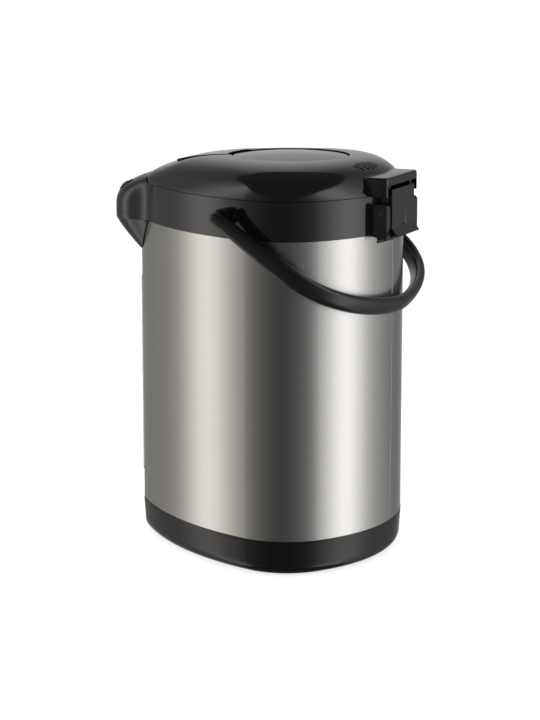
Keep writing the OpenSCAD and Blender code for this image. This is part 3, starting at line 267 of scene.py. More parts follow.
# ---- materials ----
def material(name, base, rough, metal=0.0, mottle=0.06, scale=30.0, bump=0.12, bump_scale=900.0,
             edge=0.5, stretch=None, rough_spread=0.06, clear=0.0, sheen=0.0, spec=0.5):
    m = bpy.data.materials.new(name)
    m.use_nodes = True
    nt = m.node_tree
    nt.nodes.clear()
    new, link = nt.nodes.new, nt.links.new
    out = new("ShaderNodeOutputMaterial")
    p = new("ShaderNodeBsdfPrincipled")
    link(p.outputs[0], out.inputs[0])
    co = new("ShaderNodeTexCoord")
    src = co.outputs["Object"]
    mp = new("ShaderNodeMapping")
    mp.inputs["Scale"].default_value = stretch or (1, 1, 1)
    link(src, mp.inputs["Vector"])
    soft = new("ShaderNodeTexNoise")
    soft.inputs["Scale"].default_value = scale
    soft.inputs["Detail"].default_value = 4
    link(src, soft.inputs["Vector"])
    fine = new("ShaderNodeTexNoise")
    fine.inputs["Scale"].default_value = bump_scale
    fine.inputs["Detail"].default_value = 3
    link(mp.outputs[0], fine.inputs["Vector"])
    ramp = new("ShaderNodeValToRGB")
    lo = [c * (1 - mottle) for c in base]
    hi = [min(1, c * (1 + mottle)) for c in base]
    ramp.color_ramp.elements[0].position, ramp.color_ramp.elements[1].position = 0.3, 0.7
    ramp.color_ramp.elements[0].color = (*lo, 1)
    ramp.color_ramp.elements[1].color = (*hi, 1)
    link((fine if stretch else soft).outputs["Fac"], ramp.inputs[0])
    link(ramp.outputs[0], p.inputs["Base Color"])
    rr = new("ShaderNodeMapRange")
    rr.inputs["From Min"].default_value, rr.inputs["From Max"].default_value = 0.25, 0.75
    rr.inputs["To Min"].default_value = max(0.02, rough - rough_spread)
    rr.inputs["To Max"].default_value = rough + rough_spread
    link(soft.outputs["Fac"], rr.inputs["Value"])
    link(rr.outputs[0], p.inputs["Roughness"])
    bp = new("ShaderNodeBump")
    bp.inputs["Strength"].default_value = bump
    bp.inputs["Distance"].default_value = 0.0002
    link(fine.outputs["Fac"], bp.inputs["Height"])
    if edge:
        bv = new("ShaderNodeBevel")
        bv.samples = 4
        bv.inputs["Radius"].default_value = edge * MM
        link(bv.outputs[0], bp.inputs["Normal"])
    link(bp.outputs[0], p.inputs["Normal"])
    p.inputs["Metallic"].default_value = metal
    p.inputs["Specular IOR Level"].default_value = spec
    if clear:
        p.inputs["Transmission Weight"].default_value = clear
        p.inputs["IOR"].default_value = 1.47
    if sheen:
        p.inputs["Sheen Weight"].default_value = sheen
    m["principled"] = p.name
    return m


def brushed(name, base, rough, aniso):
    """Steel with fine lines that run level around it."""
    m = material(name, base, rough, metal=1.0, mottle=0.035, stretch=(14, 14, 2400), bump=0.035,
                 bump_scale=2.0, edge=0.3, rough_spread=0.02, scale=9)
    nt = m.node_tree
    p = nt.nodes[m["principled"]]
    t = nt.nodes.new("ShaderNodeTangent")
    t.direction_type, t.axis = "RADIAL", "Z"
    nt.links.new(t.outputs[0], p.inputs["Tangent"])
    p.inputs["Anisotropic"].default_value = aniso
    p.inputs["Anisotropic Rotation"].default_value = 0.25
    return m


GLOSS = dict(mottle=0.1, scale=18, bump=0.03, bump_scale=260, rough_spread=0.03, edge=0.6)
SATIN = dict(mottle=0.12, scale=40, bump=0.22, bump_scale=1500, rough_spread=0.05, edge=0.6)
MATS = {
    "base_plastic": material("base_plastic", (0.003, 0.003, 0.0035), 0.16, **GLOSS),
    "underside_plastic": material("underside_plastic", (0.03, 0.03, 0.032), 0.5, **SATIN),
    "rubber": material("rubber", (0.035, 0.035, 0.035), 0.75, **SATIN),
    "black_steel": material("black_steel", (0.02, 0.02, 0.022), 0.35, bump=0.05, edge=0.3),
    "screw_steel": material("screw_steel", (0.6, 0.6, 0.6), 0.28, metal=1, bump=0.05, edge=0.2),
    "brushed_steel": brushed("brushed_steel", (0.6, 0.585, 0.565), 0.22, 0.75),
    "collar_plastic": material("collar_plastic", (0.004, 0.0045, 0.006), 0.09, spec=0.75, **GLOSS),
    "lid_plastic": material("lid_plastic", (0.004, 0.0042, 0.005), 0.1, spec=0.75, **GLOSS),
    "hinge_plastic": material("hinge_plastic", (0.006, 0.006, 0.007), 0.2, spec=0.7, **GLOSS),
    "bail_plastic": material("bail_plastic", (0.005, 0.005, 0.006), 0.24, spec=0.6, **GLOSS),
    "pot_steel": brushed("pot_steel", (0.66, 0.66, 0.65), 0.2, 0.3),
    "silicone": material("silicone", (0.7, 0.68, 0.63), 0.45, bump=0.1, sheen=0.2),
    "insulation": material("insulation", (0.78, 0.75, 0.68), 0.9, mottle=0.15, bump=0.6,
                           bump_scale=400, sheen=0.5),
    "heater_metal": material("heater_metal", (0.5, 0.5, 0.5), 0.45, metal=1, bump=0.2,
                             bump_scale=700),
    "ceramic": material("ceramic", (0.78, 0.76, 0.7), 0.4),
    "pump_plastic": material("pump_plastic", (0.75, 0.74, 0.7), 0.45, **SATIN),
    "motor_metal": material("motor_metal", (0.42, 0.42, 0.44), 0.35, metal=1, bump=0.05),
    "magnet": material("magnet", (0.1, 0.1, 0.1), 0.6, metal=0.6, bump=0.3),
    "hose": material("hose", (0.78, 0.76, 0.7), 0.35, clear=0.3, bump=0.05),
    "clear_glass": material("clear_glass", (0.92, 0.95, 0.95), 0.05, clear=0.9, mottle=0.02,
                            bump=0.01, edge=0.2, rough_spread=0.02),
    "window_plastic": material("window_plastic", (0.85, 0.89, 0.9), 0.08, clear=0.85, mottle=0.03,
                               bump=0.02, edge=0.3, rough_spread=0.03),
    "nozzle_plastic": material("nozzle_plastic", (0.03, 0.03, 0.033), 0.35, **SATIN),
    "panel_plastic": material("panel_plastic", (0.03, 0.031, 0.035), 0.28, **GLOSS),
    "key_plastic": material("key_plastic", (0.32, 0.33, 0.35), 0.32, **SATIN),
    "lamp_plastic": material("lamp_plastic", (0.6, 0.1, 0.05), 0.15, clear=0.4, bump=0.02),
    "board": material("board", (0.04, 0.2, 0.1), 0.4, bump=0.1),
    "brass": material("brass", (0.75, 0.58, 0.28), 0.25, metal=1, bump=0.05, edge=0.2),
    "lid_inside": material("lid_inside", (0.4, 0.41, 0.43), 0.42, **SATIN),
    "bellows_rubber": material("bellows_rubber", (0.09, 0.09, 0.1), 0.6, **SATIN),
    "spring_steel": material("spring_steel", (0.62, 0.62, 0.62), 0.25, metal=1, bump=0.04, edge=0),
}


def dress(ob, slot, angle=32):
    ob.data.materials.clear()
    ob.data.materials.append(MATS[slot])
    shade(ob.data, angle)


SLOT_OF = {s["node"]: s["material_slot"] for s in frame["record"]["subparts"]}
for name, ob in NODES.items():
    dress(ob, SLOT_OF[name])


def place(ob, body, node, slot=None):
    """The piece moves with a body and, where a node is given, takes that node's place."""
    slot = slot or SLOT_OF[node]
    dress(ob, slot)
    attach(ob, body)
    if node:
        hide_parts(node)
    return ob


# ---- base ----
EDGE_R, CLEAR, LEAN_IN = 10.0, 0.8, 2.0
JACKET_IN = 0.4
LIP_OUT, LIP_H = JACKET_IN + SHEET + SEAT, 4.0
BASE_IN, FLOOR_Z, FLOOR_IN, FOOT_IN, FOOT_Z = 3.5, 6.0, 22.0, 15.2, 3.6


def base_wall(z):
    return LEAN_IN * (BASE_H - z) / BASE_H


def base_edge(a):
    z = CLEAR + EDGE_R * (1 - math.cos(a))
    return base_wall(z) + EDGE_R * (1 - math.sin(a)), z


prof = [(FOOT_IN, CLEAR), (FOOT_IN - 2.3, CLEAR)]
prof += [base_edge(a) for a in np.linspace(0, math.pi / 2, 16)]
prof += [(base_wall(z), z) for z in np.linspace(13, BASE_H - 0.5, 8)]
prof += [(0.15, BASE_H - 0.12), (0.45, BASE_H), (LIP_OUT, BASE_H), (LIP_OUT, BASE_H + LIP_H - 0.3)]
prof += [(LIP_OUT + 0.3, BASE_H + LIP_H), (BASE_IN, BASE_H + LIP_H), (BASE_IN, FLOOR_Z)]
prof += [(FLOOR_IN, FLOOR_Z), (FLOOR_IN, FOOT_Z), (FOOT_IN, FOOT_Z)]
base = loop_solid("base_skin", [at(body_ring(i), z) for i, z in prof])
place(base, "pot", "base_shell")

# ---- steel jacket ----
RELEASE_W, RELEASE_DROP, POCKET_WALL, POCKET_ROOM = 25.7, 24.6, 1.6, 1.5
POCKET_OUT = RELEASE_W + POCKET_ROOM + POCKET_WALL
POCKET_LOW = HINGE_Z - RELEASE_DROP - POCKET_WALL
WIN_W, WIN_H, CHIN_H = 13, 172, 28.0
WIN_Z = BASE_H + (JACKET_H - CHIN_H - WIN_H) / 2
INLET_Y, INLET_Z, INLET_HALF_W, INLET_HALF_H = CORNER_C[1], BASE_H + 19, 17.2, 11.2
HEM = 0.25
INNER = JACKET_IN + SHEET
prof = [(INNER, BASE_H), (JACKET_IN + HEM, BASE_H), (JACKET_IN, BASE_H + HEM)]
prof += [(JACKET_IN, z) for z in np.linspace(BASE_H + 4, JACKET_TOP - 4, 24)]
prof += [(JACKET_IN, JACKET_TOP - HEM), (JACKET_IN + HEM, JACKET_TOP), (INNER, JACKET_TOP)]
prof += [(INNER, z) for z in np.linspace(JACKET_TOP - 4, BASE_H + 4, 8)]
jacket = loop_solid("jacket_skin", [at(body_ring(a), z) for a, z in prof])
boolean(jacket, [
    # the hinge's pocket, the level window and the power inlet
    block("c1", (-POCKET_OUT - SEAT, 60, POCKET_LOW - SEAT), (POCKET_OUT + SEAT, 180, POCKET_LOW + 60)),
    block("c2", (-WIN_W / 2, -FRONT_Y - 5, WIN_Z), (WIN_W / 2, -FRONT_Y + 7, WIN_Z + WIN_H)),
    block("c3", (-BODY_W, INLET_Y - INLET_HALF_W, INLET_Z - INLET_HALF_H),
          (0, INLET_Y + INLET_HALF_W, INLET_Z + INLET_HALF_H)),
])
place(jacket, "pot", "steel_jacket")
# the folded seam down the middle of the rear
seam = block("jacket_seam", (-1.0, REAR_Y - 0.9, BASE_H + 0.4), (1.0, REAR_Y - 0.05, POCKET_LOW - 0.6),
             0.3, 3)
place(seam, "pot", None, "brushed_steel")

# ---- collar with its snout ----
RIM_Z = DECK - 6.2
LEDGE_Z = RIM_Z - 1.8
MOUTH_R = POT_R + 6
# the snout's lean sets in over this stretch of Y, and narrows it by this share
LEAN_POWER, LEAN_FROM, LEAN_OVER, LEAN_NARROW = 2.9, 85, 60, 0.3


def lean(z):
    return max(0.0, (z - SNOUT_Z) / LEAN_H) ** LEAN_POWER


def snout_ring(inset, z):
    p = snout_outline(inset)
    w = lean(z) * smooth((-LEAN_FROM - p[:, 1]) / LEAN_OVER)
    return np.column_stack([p[:, 0] * (1 - LEAN_NARROW * w), p[:, 1] + RAKE * w, np.full(len(p), z)])


def on_circle(ring, c, r):
    d = ring - c
    return c + r * d / np.linalg.norm(d, axis=1)[:, None]


PANEL_Z, PANEL_TILT = DECK - 3.6, math.radians(36)
PANEL_Y = -FRONT_Y - SNOUT_OUT + RAKE * lean(PANEL_Z)
PANEL = Matrix.Translation((0, PANEL_Y * MM, PANEL_Z * MM)) @ Matrix.Rotation(PANEL_TILT, 4, "X")


def on_panel(ob):
    return turned(ob, PANEL)


def rounded(w, d, r, y=0.0, n=10):
    """A rectangle with round corners, about (0, y)."""
    pts = []
    for q in range(4):
        sx, sy = (1 if q in (0, 3) else -1), (1 if q < 2 else -1)
        for k in range(n + 1):
            a = math.radians(90 * (q + k / n))
            pts.append((sx * (w / 2 - r) + r * math.cos(a), y + sy * (d / 2 - r) + r * math.sin(a)))
    return np.array(pts)


full = snout_outline(0)
POT_C = np.array([0, POT_Y])
levels = [JACKET_TOP, *np.linspace(JACKET_TOP + 0.3, DECK - 9, 20), *np.linspace(DECK - 8, SNOUT_TOP, 32)]
rings = [snout_ring(0, z) for z in levels]
NECK = [(POT_R, SNOUT_TOP), (POT_R, LEDGE_Z - WALL)]
NECK += [(MOUTH_R + WALL, LEDGE_Z - WALL), (MOUTH_R + WALL, DECK - 3.5)]
rings += [at(on_circle(full, POT_C, r), z) for r, z in NECK]
rings += [snout_ring(WALL, DECK - down) for down in (3.5, 5, 7, 9, 11.5, 14, 18, 22)]
rings += [at(lip_ring(a), JACKET_TOP + z) for a, z in ((WALL, 3), (WALL, -4), (LIP_OUT, -4), (LIP_OUT, 0))]
collar = loop_solid("collar_skin", rings)
edge = lid_edge(-0.6)
WIDE = 200
right, left = [[WIDE, WIDE], [WIDE, edge[0][1]]], [[-WIDE, edge[0][1]], [-WIDE, WIDE]]
over = np.concatenate([right, edge, edge[-2::-1] * [-1, 1], left])
CHIN_RISE = 9
PARTING_A = math.atan2(CHIN_RISE, SNOUT_OUT + NOSE_R / 2)


def parting(name, drop, low, deep, high=60):
    """A block along the leaning parting line between snout and chin."""
    ob = block(name, (-60, -80, low), (60, deep - 80, low + high))
    move = Matrix.Translation((0, (-FRONT_Y + NOSE_R / 2) * MM, (JACKET_TOP - drop) * MM))
    return turned(ob, move @ Matrix.Rotation(-PARTING_A, 4, "X"))


PANEL_W, PANEL_D, PANEL_UP, PANEL_R, PANEL_LOW = 30, 15, 1.6, 4, -3.4
KEY_R, KEYS, LAMP_R, LAMPS, LAMP_UP, FLANGE = 4.0, (-9.5, 0, 9.5), 1.5, (-4.75, 4.75), 6, 1.4
bar = prism("u1", rounded(PANEL_W + 2, PANEL_D + 2, PANEL_R, PANEL_UP), PANEL_LOW - 2, PANEL_LOW + 0.1)
boolean(collar, [on_panel(bar)], "UNION")
recess = prism("c10", rounded(PANEL_W + 2 * SEAT, PANEL_D + 2 * SEAT, PANEL_R, PANEL_UP), PANEL_LOW, 9)
cuts = [
    prism("c1", over, DECK, DECK + 40),
    parting("c2", 0, -60, 80),
    rod("c3", MOUTH_R, (0, POT_Y, LEDGE_Z), (0, POT_Y, LEDGE_Z + 60), 160),
    rod("c4", POT_R + 1.5, (0, POT_Y, LEDGE_Z - 10), (0, POT_Y, LEDGE_Z + 30), 160),
    # the hinge bracket's pocket and seat, the bail's pivots, the hose and the latch
    block("c5", (-POCKET_OUT - SEAT, HINGE_Y - 21.4, JACKET_TOP - 20),
          (POCKET_OUT + SEAT, HINGE_Y + 40, JACKET_TOP + 60)),
    block("c6", (-EARS_W - SEAT, HINGE_Y - 9.9, JACKET_TOP - 0.1),
          (EARS_W + SEAT, HINGE_Y + 50, JACKET_TOP + 80)),
    rod("c7", 4.1, (-BODY_W, BAIL_Y, PIVOT_Z), (BODY_W, BAIL_Y, PIVOT_Z)),
    rod("c8", 5.5, (0, HOSE_Y, JACKET_TOP - 5), (0, HOSE_Y, JACKET_TOP + 15)),
    block("c9", (-11, -LID_FRONT - 5, LID_Z + 2.1), (11, -LID_FRONT + 1, LID_Z + 4.7)),
    on_panel(recess),
]
for k, x in enumerate(KEYS):
    cuts.append(on_panel(rod(f"d{k}", KEY_R, (x, 0, -14), (x, 0, 2))))
    cuts.append(on_panel(rod(f"e{k}", KEY_R + FLANGE, (x, 0, -14), (x, 0, PANEL_LOW - 2))))
for k, x in enumerate(LAMPS):
    cuts.append(on_panel(rod(f"f{k}", LAMP_R, (x, LAMP_UP, -5), (x, LAMP_UP, 1))))
boolean(collar, cuts)
place(collar, "pot", "collar")

# ---- chin under the snout ----
CHIN_BACK, CHIN_LEAST, CHIN_POWER = FRONT_Y - 24, 1.2, 1.25


def chin_ring(u):
    """The chin's outline, a share u of the way down."""
    tip = FRONT_Y + CHIN_LEAST + (SNOUT_OUT - CHIN_LEAST) * (1 - u**CHIN_POWER)
    ky = (tip - CHIN_BACK) / (FRONT_Y + SNOUT_OUT - CHIN_BACK)
    f = snout_front(0)
    y = np.minimum(f[:, 1], -CHIN_BACK) * ky - CHIN_BACK * (1 - ky)
    half = np.column_stack([f[:, 0] * (1 - u / 3), y])
    return np.concatenate([half, half[-2::-1] * [-1, 1]])


rings = [at(chin_ring(u), JACKET_TOP - CHIN_H * u) for u in np.linspace(1, 0, 30)]
rings.append(at(chin_ring(0), JACKET_TOP + CHIN_RISE + 2))
chin = stack_solid("chin_skin", rings)
boolean(chin, [
    parting("c1", SEAT, 0, 120),
    prism("c2", body_ring(-0.1), BASE_H, JACKET_TOP + 40),
    rod("c3", 7, (0, HOSE_Y, BASE_H), (0, HOSE_Y, JACKET_TOP + 40)),
])
place(chin, "pot", "nose_chin")

# ---- lid ----
HOLE_R = PLATE_R + 1
PC = np.array([0, PLATE_Y])


# how round the lid is at its sides, how it falls to the front, and where the two blend
SIDE_IN, SIDE_OUT, FRONT_FALL, BLEND_Y, BLEND_SOFT = 6.5, 1.16, 3.7, -95, 5


def dome_z(f, y):
    """The lid's height at the share f of the way from the plate's centre to its edge."""
    w = 1 / (1 + np.exp((y - BLEND_Y) / BLEND_SOFT))
    side = (LID_RISE - 0.6) * (1 - (1 - np.minimum(f, 1) ** SIDE_IN) ** (1 / SIDE_OUT))
    return LID_TOP - (1 - w) * side - w * (LID_RISE - LID_LIP) * f**FRONT_FALL


lid_full = lid_outline(0)


def dome_ring(k, inset, drop):
    skin = lid_outline(inset)
    g = (HOLE_R - 2) / np.linalg.norm(lid_full - PC, axis=1)
    f = g + (1 - g) * k
    s = PC + (skin - PC) * f[:, None]
    return np.column_stack([s, np.maximum(dome_z(f, lid_full[:, 1]) - drop, LID_Z)])


ks = 1 - np.linspace(0, 1, 46) ** 2.3
rings = [at(lid_full, LID_Z)] + [dome_ring(k, 0, 0) for k in ks]
INSIDE = (0, 0.2, 0.35, 0.5, 0.6, 0.7, 0.78, 0.84, 0.88, 0.91, 0.94)
rings += [dome_ring(k, WALL, WALL) for k in INSIDE]
rings += [at(lid_outline(WALL), z) for z in (LID_Z + 2.8, LID_Z)]
lid = loop_solid("lid_skin", rings)
# the vent slots: X, Y and length of each, all turned alike
VENTS = [(26, 93.4, 10), (19.2, 93.7, 13.5), (12.4, 94, 15), (5.6, 94.3, 13.5), (-1.2, 94.6, 10)]
VENT_W, VENT_TURN = 3.0, math.radians(32)
HOUSE_F, HOUSE_B, ROOF = HINGE_Y - 17.6, HINGE_Y + 5.3, HINGE_Z + 29.5
HOUSE_R, ROOF_R, HOUSE_WALL = 4.0, 2.2, 2.4


def house_ring(inset, z):
    w, d = 2 * (EARS_W - inset), HOUSE_B - HOUSE_F - 2 * inset
    return at(rounded(w, d, max(HOUSE_R - inset, 0.5), (HOUSE_F + HOUSE_B) / 2), z)


rings = [house_ring(0, DECK - 1)]
for a in np.linspace(0, math.pi / 2, 9):
    rings.append(house_ring(ROOF_R * (1 - math.cos(a)), ROOF - ROOF_R * (1 - math.sin(a))))
house = stack_solid("house", rings)
boolean(house, [block("h1", (-EARS_W - 1, HOUSE_F - 1, DECK - 2), (EARS_W + 1, HINGE_Y - 4.8, DECK + MOVE))])
boolean(lid, [house], "UNION")
HOUSE_IN = EARS_W - HOUSE_WALL
cuts = [
    # inside the housing, under its rear lip, the plate's hole, the strip's bed, latch and pin
    block("c1", (-HOUSE_IN, HOUSE_F - 1, 0), (HOUSE_IN, HOUSE_B - 2, ROOF - HOUSE_WALL)),
    block("c2", (-HOUSE_IN, HOUSE_F - 1, 0), (HOUSE_IN, HOUSE_B + 40, ROOF - 7)),
    rod("c3", HOLE_R, (0, PLATE_Y, LID_Z), (0, PLATE_Y, LID_Z + 60), 200),
    block("c4", (-STRIP_W - 0.5, -STRIP_FRONT - 0.5, LID_Z + 8), (STRIP_W + 0.5, -10.5, LID_Z + 60)),
    block("c5", (-10.4, -LID_FRONT - 2, LID_Z + 2.3), (10.4, -LID_FRONT + 10, LID_Z + 4.5)),
    rod("c6", PIN_HOLE_R, (-40, HINGE_Y, HINGE_Z), (40, HINGE_Y, HINGE_Z), 32),
]
for k, (x, y, run) in enumerate(VENTS):
    slot = block(f"v{k}", (-VENT_W / 2, -run / 2, LID_Z + 12), (VENT_W / 2, run / 2, LID_Z + 52), 1.0, 5)
    move = Matrix.Translation((x * MM, y * MM, 0))
    cuts.append(turned(slot, move @ Matrix.Rotation(VENT_TURN, 4, "Z")))
boolean(lid, cuts)
EAR_IN = 27.2
ARM_IN, ARM_OUT, EYE_R, ARM_BACK = EAR_IN - 4.4, EAR_IN - 0.3, 6.5, HINGE_Y + 2.8
arms = []
for k, (x0, x1) in enumerate(((-ARM_OUT, -ARM_IN), (ARM_IN, ARM_OUT))):
    arm = rod(f"arm{k}", EYE_R, (x0, HINGE_Y, HINGE_Z), (x1, HINGE_Y, HINGE_Z), 64)
    boolean(arm, [block("a", (x0, HINGE_Y - EYE_R, HINGE_Z), (x1, ARM_BACK, ROOF - 2.0))], "UNION")
    boolean(arm, [rod("b", PIN_HOLE_R, (x0 - 1, HINGE_Y, HINGE_Z), (x1 + 1, HINGE_Y, HINGE_Z), 32),
                  block("c", (x0 - 1, ARM_BACK, HINGE_Z - 8), (x1 + 1, HINGE_Y + 9, HINGE_Z + 12))])
    arms.append(arm)
boolean(lid, arms, "UNION")
place(lid, "lid", "lid_shell")


# ---- lever strip ----
def lever_z(y):
    """The strip's top, a little proud of the lid's fall to the front."""
    fall = ((PLATE_Y - y) / (PLATE_Y + LID_FRONT)) ** FRONT_FALL
    return LID_TOP - (LID_RISE - LID_LIP) * fall + 0.7


STRIP_T = 2.4
ys = np.linspace(-STRIP_FRONT, -20, 48)
top, under = [(y, lever_z(y)) for y in ys], [(y, lever_z(y) - STRIP_T) for y in ys[::-1]]
# across the strip: how far in from each side, and how far the top is rounded down there
ROUNDED = [(0, 0.5), (0.15, 0.2), (0.5, 0.04), (1, 0), (12, 0)]
stations = [(into - STRIP_W, down) for into, down in ROUNDED] + [(0, 0)]
stations += [(STRIP_W - into, down) for into, down in ROUNDED[::-1]]
rings = [np.array([(x, y, z - down) for y, z in top] + [(x, y, z) for y, z in under]) for x, down in stations]
lever = stack_solid("lever_skin", rings)
boolean(lever, [rod("c1", HOLE_R + 3.5, (0, PLATE_Y, 250), (0, PLATE_Y, 400), 200)])
PIN_Y, PIN_Z, KNUCKLE_R, KNUCKLE_W = -36, LID_TOP - 6.5, 3.2, 4
for k, x in enumerate((-12, 8)):
    end = x + KNUCKLE_W
    knuckle = rod(f"k{k}", KNUCKLE_R, (x, PIN_Y, PIN_Z), (end, PIN_Y, PIN_Z), 48)
    web = block("b", (x, PIN_Y - KNUCKLE_R, PIN_Z), (end, PIN_Y + KNUCKLE_R / 2, lever_z(PIN_Y) - 1))
    boolean(knuckle, [web], "UNION")
    boolean(knuckle, [rod("h", PIN_HOLE_R, (x - 1, PIN_Y, PIN_Z), (end + 1, PIN_Y, PIN_Z), 32)])
    boolean(lever, [knuckle], "UNION")
place(lever, "lever", "lid_lever")

# ---- push plate ----
EDGE_Z = LID_TOP - 1.2
CROWN_R = (PLATE_R**2 + PLATE_CROWN**2) / (2 * PLATE_CROWN)


def crown_z(r):
    return EDGE_Z + PLATE_CROWN - CROWN_R + math.sqrt(CROWN_R**2 - r * r)


RIM_R, PLATE_T, SKIRT = 1.0, 2.2, 6.5
RIM_IN = PLATE_R - RIM_R
prof = [(r, crown_z(r)) for r in np.linspace(0, RIM_IN, 24)]
for a in np.linspace(0.15, math.pi / 2, 8):
    prof.append((RIM_IN + RIM_R * math.sin(a), crown_z(RIM_IN) - RIM_R * (1 - math.cos(a))))
prof += [(PLATE_R, EDGE_Z - SKIRT + 0.3), (PLATE_R - 0.3, EDGE_Z - SKIRT)]
prof += [(PLATE_R - PLATE_T, EDGE_Z - SKIRT), (PLATE_R - PLATE_T, EDGE_Z - PLATE_T), (0, EDGE_Z - PLATE_T)]
plate = revolve("plate_skin", prof, (0, PLATE_Y), 192)
place(plate, "pump_top", "push_plate")

# ---- bellows and spring under the plate, each copied into a mesh of its own on the lid ----
for node in ("bellows", "pump_spring"):
    rigid = NODES[node]
    points = [tuple(rigid.matrix_world @ v.co / MM) for v in rigid.data.vertices]
    soft = make(node + "_soft", points, [tuple(p.vertices) for p in rigid.data.polygons])
    place(soft, "lid", node)
    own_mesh(soft)


# ---- bail: a superellipse in plan, bowed out and up a little ----
def side_x(y):
    return FLANK_C[0] + math.sqrt(FLANK_R**2 - (y - FLANK_C[1]) ** 2)


ARM_T, GRIP_T, ARM_H, GRIP_H = 7.0, 5.0, 5.4, 7.9
BAIL_X = side_x(BAIL_Y) + 9.5 + ARM_T
REACH = (REAR_Y + 6.9 - BAIL_Y) / math.cos(math.radians(HANG))
# powers of the superellipse across and along, and how far the bail bows out and up
ACROSS_P, ALONG_P, BOW_OUT, BOW_UP = 1.58, 5.39, 6.1, 2.2


def bail_mid(m, u):
    s = math.sin(math.pi * u)
    return np.array([BAIL_X * m + BOW_OUT * s, REACH * u, BOW_UP * s])


def across(u):
    return (1 - u**ALONG_P) ** (1 / ACROSS_P)


def along_of(m):
    return (1 - m**ACROSS_P) ** (1 / ALONG_P)


# steps run along the arm up to the turn, and across the grip from there
TURN = 0.84
quarter = [bail_mid(across(u), u) for u in np.linspace(0, TURN, 60)]
for k in np.linspace(1, 0, 60)[1:]:
    quarter.append(bail_mid(across(TURN) * k, along_of(across(TURN) * k)))
line = quarter + [q * [-1, 1, 1] for q in quarter[-2::-1]]
SECTION_N, SECTION_P = 56, 2 / 2.67


def section(t, h):
    pts = []
    for k in range(SECTION_N):
        a = -2 * math.pi * (k + 0.5) / SECTION_N
        c, s = math.cos(a), math.sin(a)
        qx = t * math.copysign(abs(c) ** SECTION_P, c)
        qy = h * math.copysign(abs(s) ** SECTION_P, s)
        # a soft ridge along the outer face
        if qx < 0:
            qx -= 0.35 * max(0.0, 1 - abs(qy) / (0.5 * h)) - 0.12
        pts.append((qx, qy))
    return pts


def bail_ring(p, along, t, h):
    along = np.array([along[0], along[1], 0.0])
    out = np.cross([0, 0, 1], along)
    out /= np.linalg.norm(out)
    return np.array([p - out * qx + np.array([0, 0, qy]) for qx, qy in section(t, h)])


def size(u):
    s = float(smooth(u / 0.6))
    return ARM_T + (GRIP_T - ARM_T) * s, ARM_H + (GRIP_H - ARM_H) * s


def cap(side, angles):
    """The rounded end of an arm."""
    rings = []
    for a in angles:
        t, h = ARM_T * (0.45 + 0.55 * math.cos(a)), ARM_H * max(0.05, math.cos(a))
        rings.append(bail_ring(np.array([side * BAIL_X, -ARM_H * math.sin(a), 0]), (0, side), t, h))
    return rings


angs = np.radians([87, 82, 75, 66, 56, 45, 34, 22, 11])
ways = [(0, 1)] + [(b - a)[:2] for a, b in zip(line, line[2:])] + [(0, -1)]
rings = cap(1, angs)
rings += [bail_ring(p, way, *size(p[1] / REACH)) for p, way in zip(line, ways)]
rings += cap(-1, angs[::-1])
bail = stack_solid("bail_skin", rings)
turned(bail, Matrix.Rotation(math.radians(-HANG), 4, "X"))
turned(bail, Matrix.Translation((0, BAIL_Y * MM, PIVOT_Z * MM)))
STUD_R, STUD_IN, STUD_OUT = 3.05, BAIL_X - ARM_T - 2, BAIL_X + 2
boolean(bail, [rod("c1", STUD_R, (STUD_IN, BAIL_Y, PIVOT_Z), (STUD_OUT, BAIL_Y, PIVOT_Z), 48),
               rod("c2", STUD_R, (-STUD_OUT, BAIL_Y, PIVOT_Z), (-STUD_IN, BAIL_Y, PIVOT_Z), 48)])
place(bail, "bail", "bail_handle")

# ---- floor, light and camera ----
WIDE_FLOOR = 6000
corners = [(-1, -1), (1, -1), (1, 1), (-1, 1)]
floor = make("floor", [(x * WIDE_FLOOR, y * WIDE_FLOOR, 0) for x, y in corners], [(0, 1, 2, 3)])
paint = material("floor_paint", (0.88, 0.88, 0.88), 0.9, mottle=0.01, edge=0, bump=0.02, scale=3)
# it glows a little, so that it reads as white as the backdrop
painted = paint.node_tree.nodes[paint["principled"]]
painted.inputs["Emission Color"].default_value = (1, 1, 1, 1)
painted.inputs["Emission Strength"].default_value = 0.78
floor.data.materials.append(paint)
floor.visible_glossy = False

scene = bpy.context.scene
scene.view_settings.view_transform = "Standard"
world = bpy.data.worlds.new("studio")
scene.world = world
world.use_nodes = True


def added(tree, kind, **values):
    """A node of this kind with its properties set."""
    node = tree.nodes.new("ShaderNode" + kind)
    for key, value in values.items():
        setattr(node, key, value)
    return node


def mapped(tree, source, low, high):
    """A factor of 0 to 1 as a value from low to high."""
    node = added(tree, "MapRange")
    node.inputs["To Min"].default_value = low
    node.inputs["To Max"].default_value = high
    tree.links.new(source, node.inputs["Value"])
    return node.outputs["Result"]


# the backdrop is white to the camera, and dimmer as a light and in reflections
sky = world.node_tree
backdrop = sky.nodes["Background"]
backdrop.inputs[0].default_value = (1, 1, 1, 1)
path = added(sky, "LightPath")
both = added(sky, "Math", operation="MULTIPLY")
sky.links.new(mapped(sky, path.outputs["Is Camera Ray"], 0.35, 1.05), both.inputs[0])
sky.links.new(mapped(sky, path.outputs["Is Glossy Ray"], 1.0, 0.25), both.inputs[1])
sky.links.new(both.outputs[0], backdrop.inputs[1])


# a round tent that only reflections see, lit by soft boxes: (bearing from the front in degrees,
# half width in degrees, brightness, colour)
TENT_R, TENT_LOW, TENT_HIGH, TENT_N, TENT_DIM = 1200.0, -1500, 1700, 180, 0.034
SOFT_BOXES = [
    (21, 13, 0.91, (1, 0.97, 0.92)),
    (17, 54, 0.34, (1, 0.98, 0.94)),
    (188, 18, 1.07, (1, 1, 1)),
    (197, 51, 0.48, (1, 1, 1)),
    (-65, 25, 0.51, (1, 1, 1)),
]


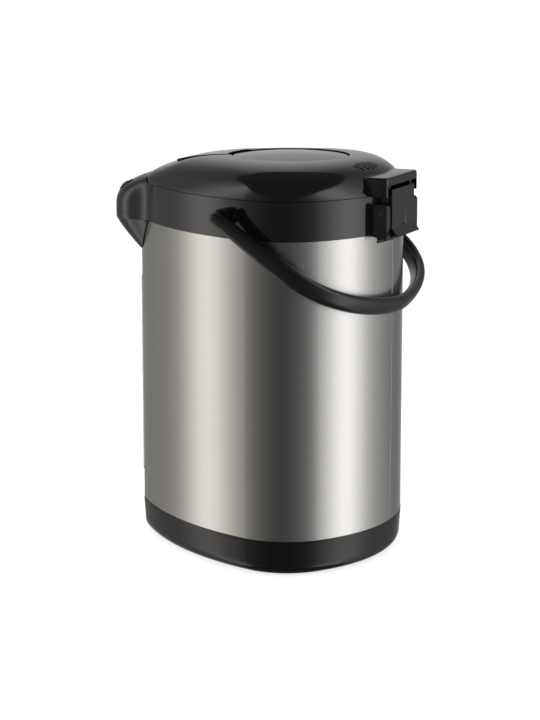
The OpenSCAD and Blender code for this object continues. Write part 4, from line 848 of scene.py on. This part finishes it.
def tent_glow(deg):
    glow = np.full(3, TENT_DIM)
    for middle, half, level, colour in SOFT_BOXES:
        off = (deg - middle + 180) % 360 - 180
        glow += level * math.exp(-((off / half) ** 2)) * np.array(colour)
    return glow


turns = [360 * k / TENT_N for k in range(TENT_N)]
circle = [TENT_R * np.array([math.sin(math.radians(t)), -math.cos(math.radians(t))]) for t in turns]
tent = make("tent", np.concatenate([at(circle, TENT_LOW), at(circle, TENT_HIGH)]),
            [(k, (k + 1) % TENT_N, TENT_N + (k + 1) % TENT_N, TENT_N + k) for k in range(TENT_N)])
glow = tent.data.color_attributes.new("glow", "FLOAT_COLOR", "POINT")
for k in range(2 * TENT_N):
    glow.data[k].color = (*tent_glow(turns[k % TENT_N]), 1)
cloth = bpy.data.materials.new("tent_cloth")
cloth.use_nodes = True
weave = cloth.node_tree
weave.nodes.clear()
emit, shown = added(weave, "Emission"), added(weave, "OutputMaterial")
weave.links.new(added(weave, "Attribute", attribute_name="glow").outputs["Color"], emit.inputs[0])
weave.links.new(emit.outputs[0], shown.inputs["Surface"])
tent.data.materials.append(cloth)
tent.visible_camera = False
tent.visible_diffuse = False
tent.visible_shadow = False
tent.visible_transmission = False


def aimed(name, data, place_at, look):
    """A light or camera at a place in metres, looking along a direction."""
    ob = bpy.data.objects.new(name, data)
    scene.collection.objects.link(ob)
    ob.location = place_at
    ob.rotation_mode = "QUATERNION"
    ob.rotation_quaternion = look.to_track_quat("-Z", "Y")
    return ob


# one large soft box high on the side that the camera sees
BOX_AZ, BOX_AWAY, BOX_UP, BOX_SIZE, BOX_POWER = math.radians(100), 2.4, 2.2, 2.4, 10
fill = bpy.data.lights.new("fill", "AREA")
fill.shape = "SQUARE"
fill.size = BOX_SIZE
fill.energy = BOX_POWER
fill_at = Vector((BOX_AWAY * math.sin(BOX_AZ), -BOX_AWAY * math.cos(BOX_AZ), BOX_UP))
aimed("fill", fill, fill_at, Vector((0, 0, 0.2)) - fill_at).visible_glossy = False

cam = bpy.data.cameras.new("camera")
cam.lens = 116.05
cam.sensor_width = 36.0
cam.sensor_fit = "AUTO"
cam.clip_start, cam.clip_end = 0.05, 50
CAM_AZ, CAM_PITCH = math.radians(114.08), math.radians(11.36)
level = math.cos(CAM_PITCH)
ahead = Vector((-math.sin(CAM_AZ) * level, math.cos(CAM_AZ) * level, -math.sin(CAM_PITCH)))
scene.camera = aimed("camera", cam, (1.8268, 0.8169, 0.5654), ahead)
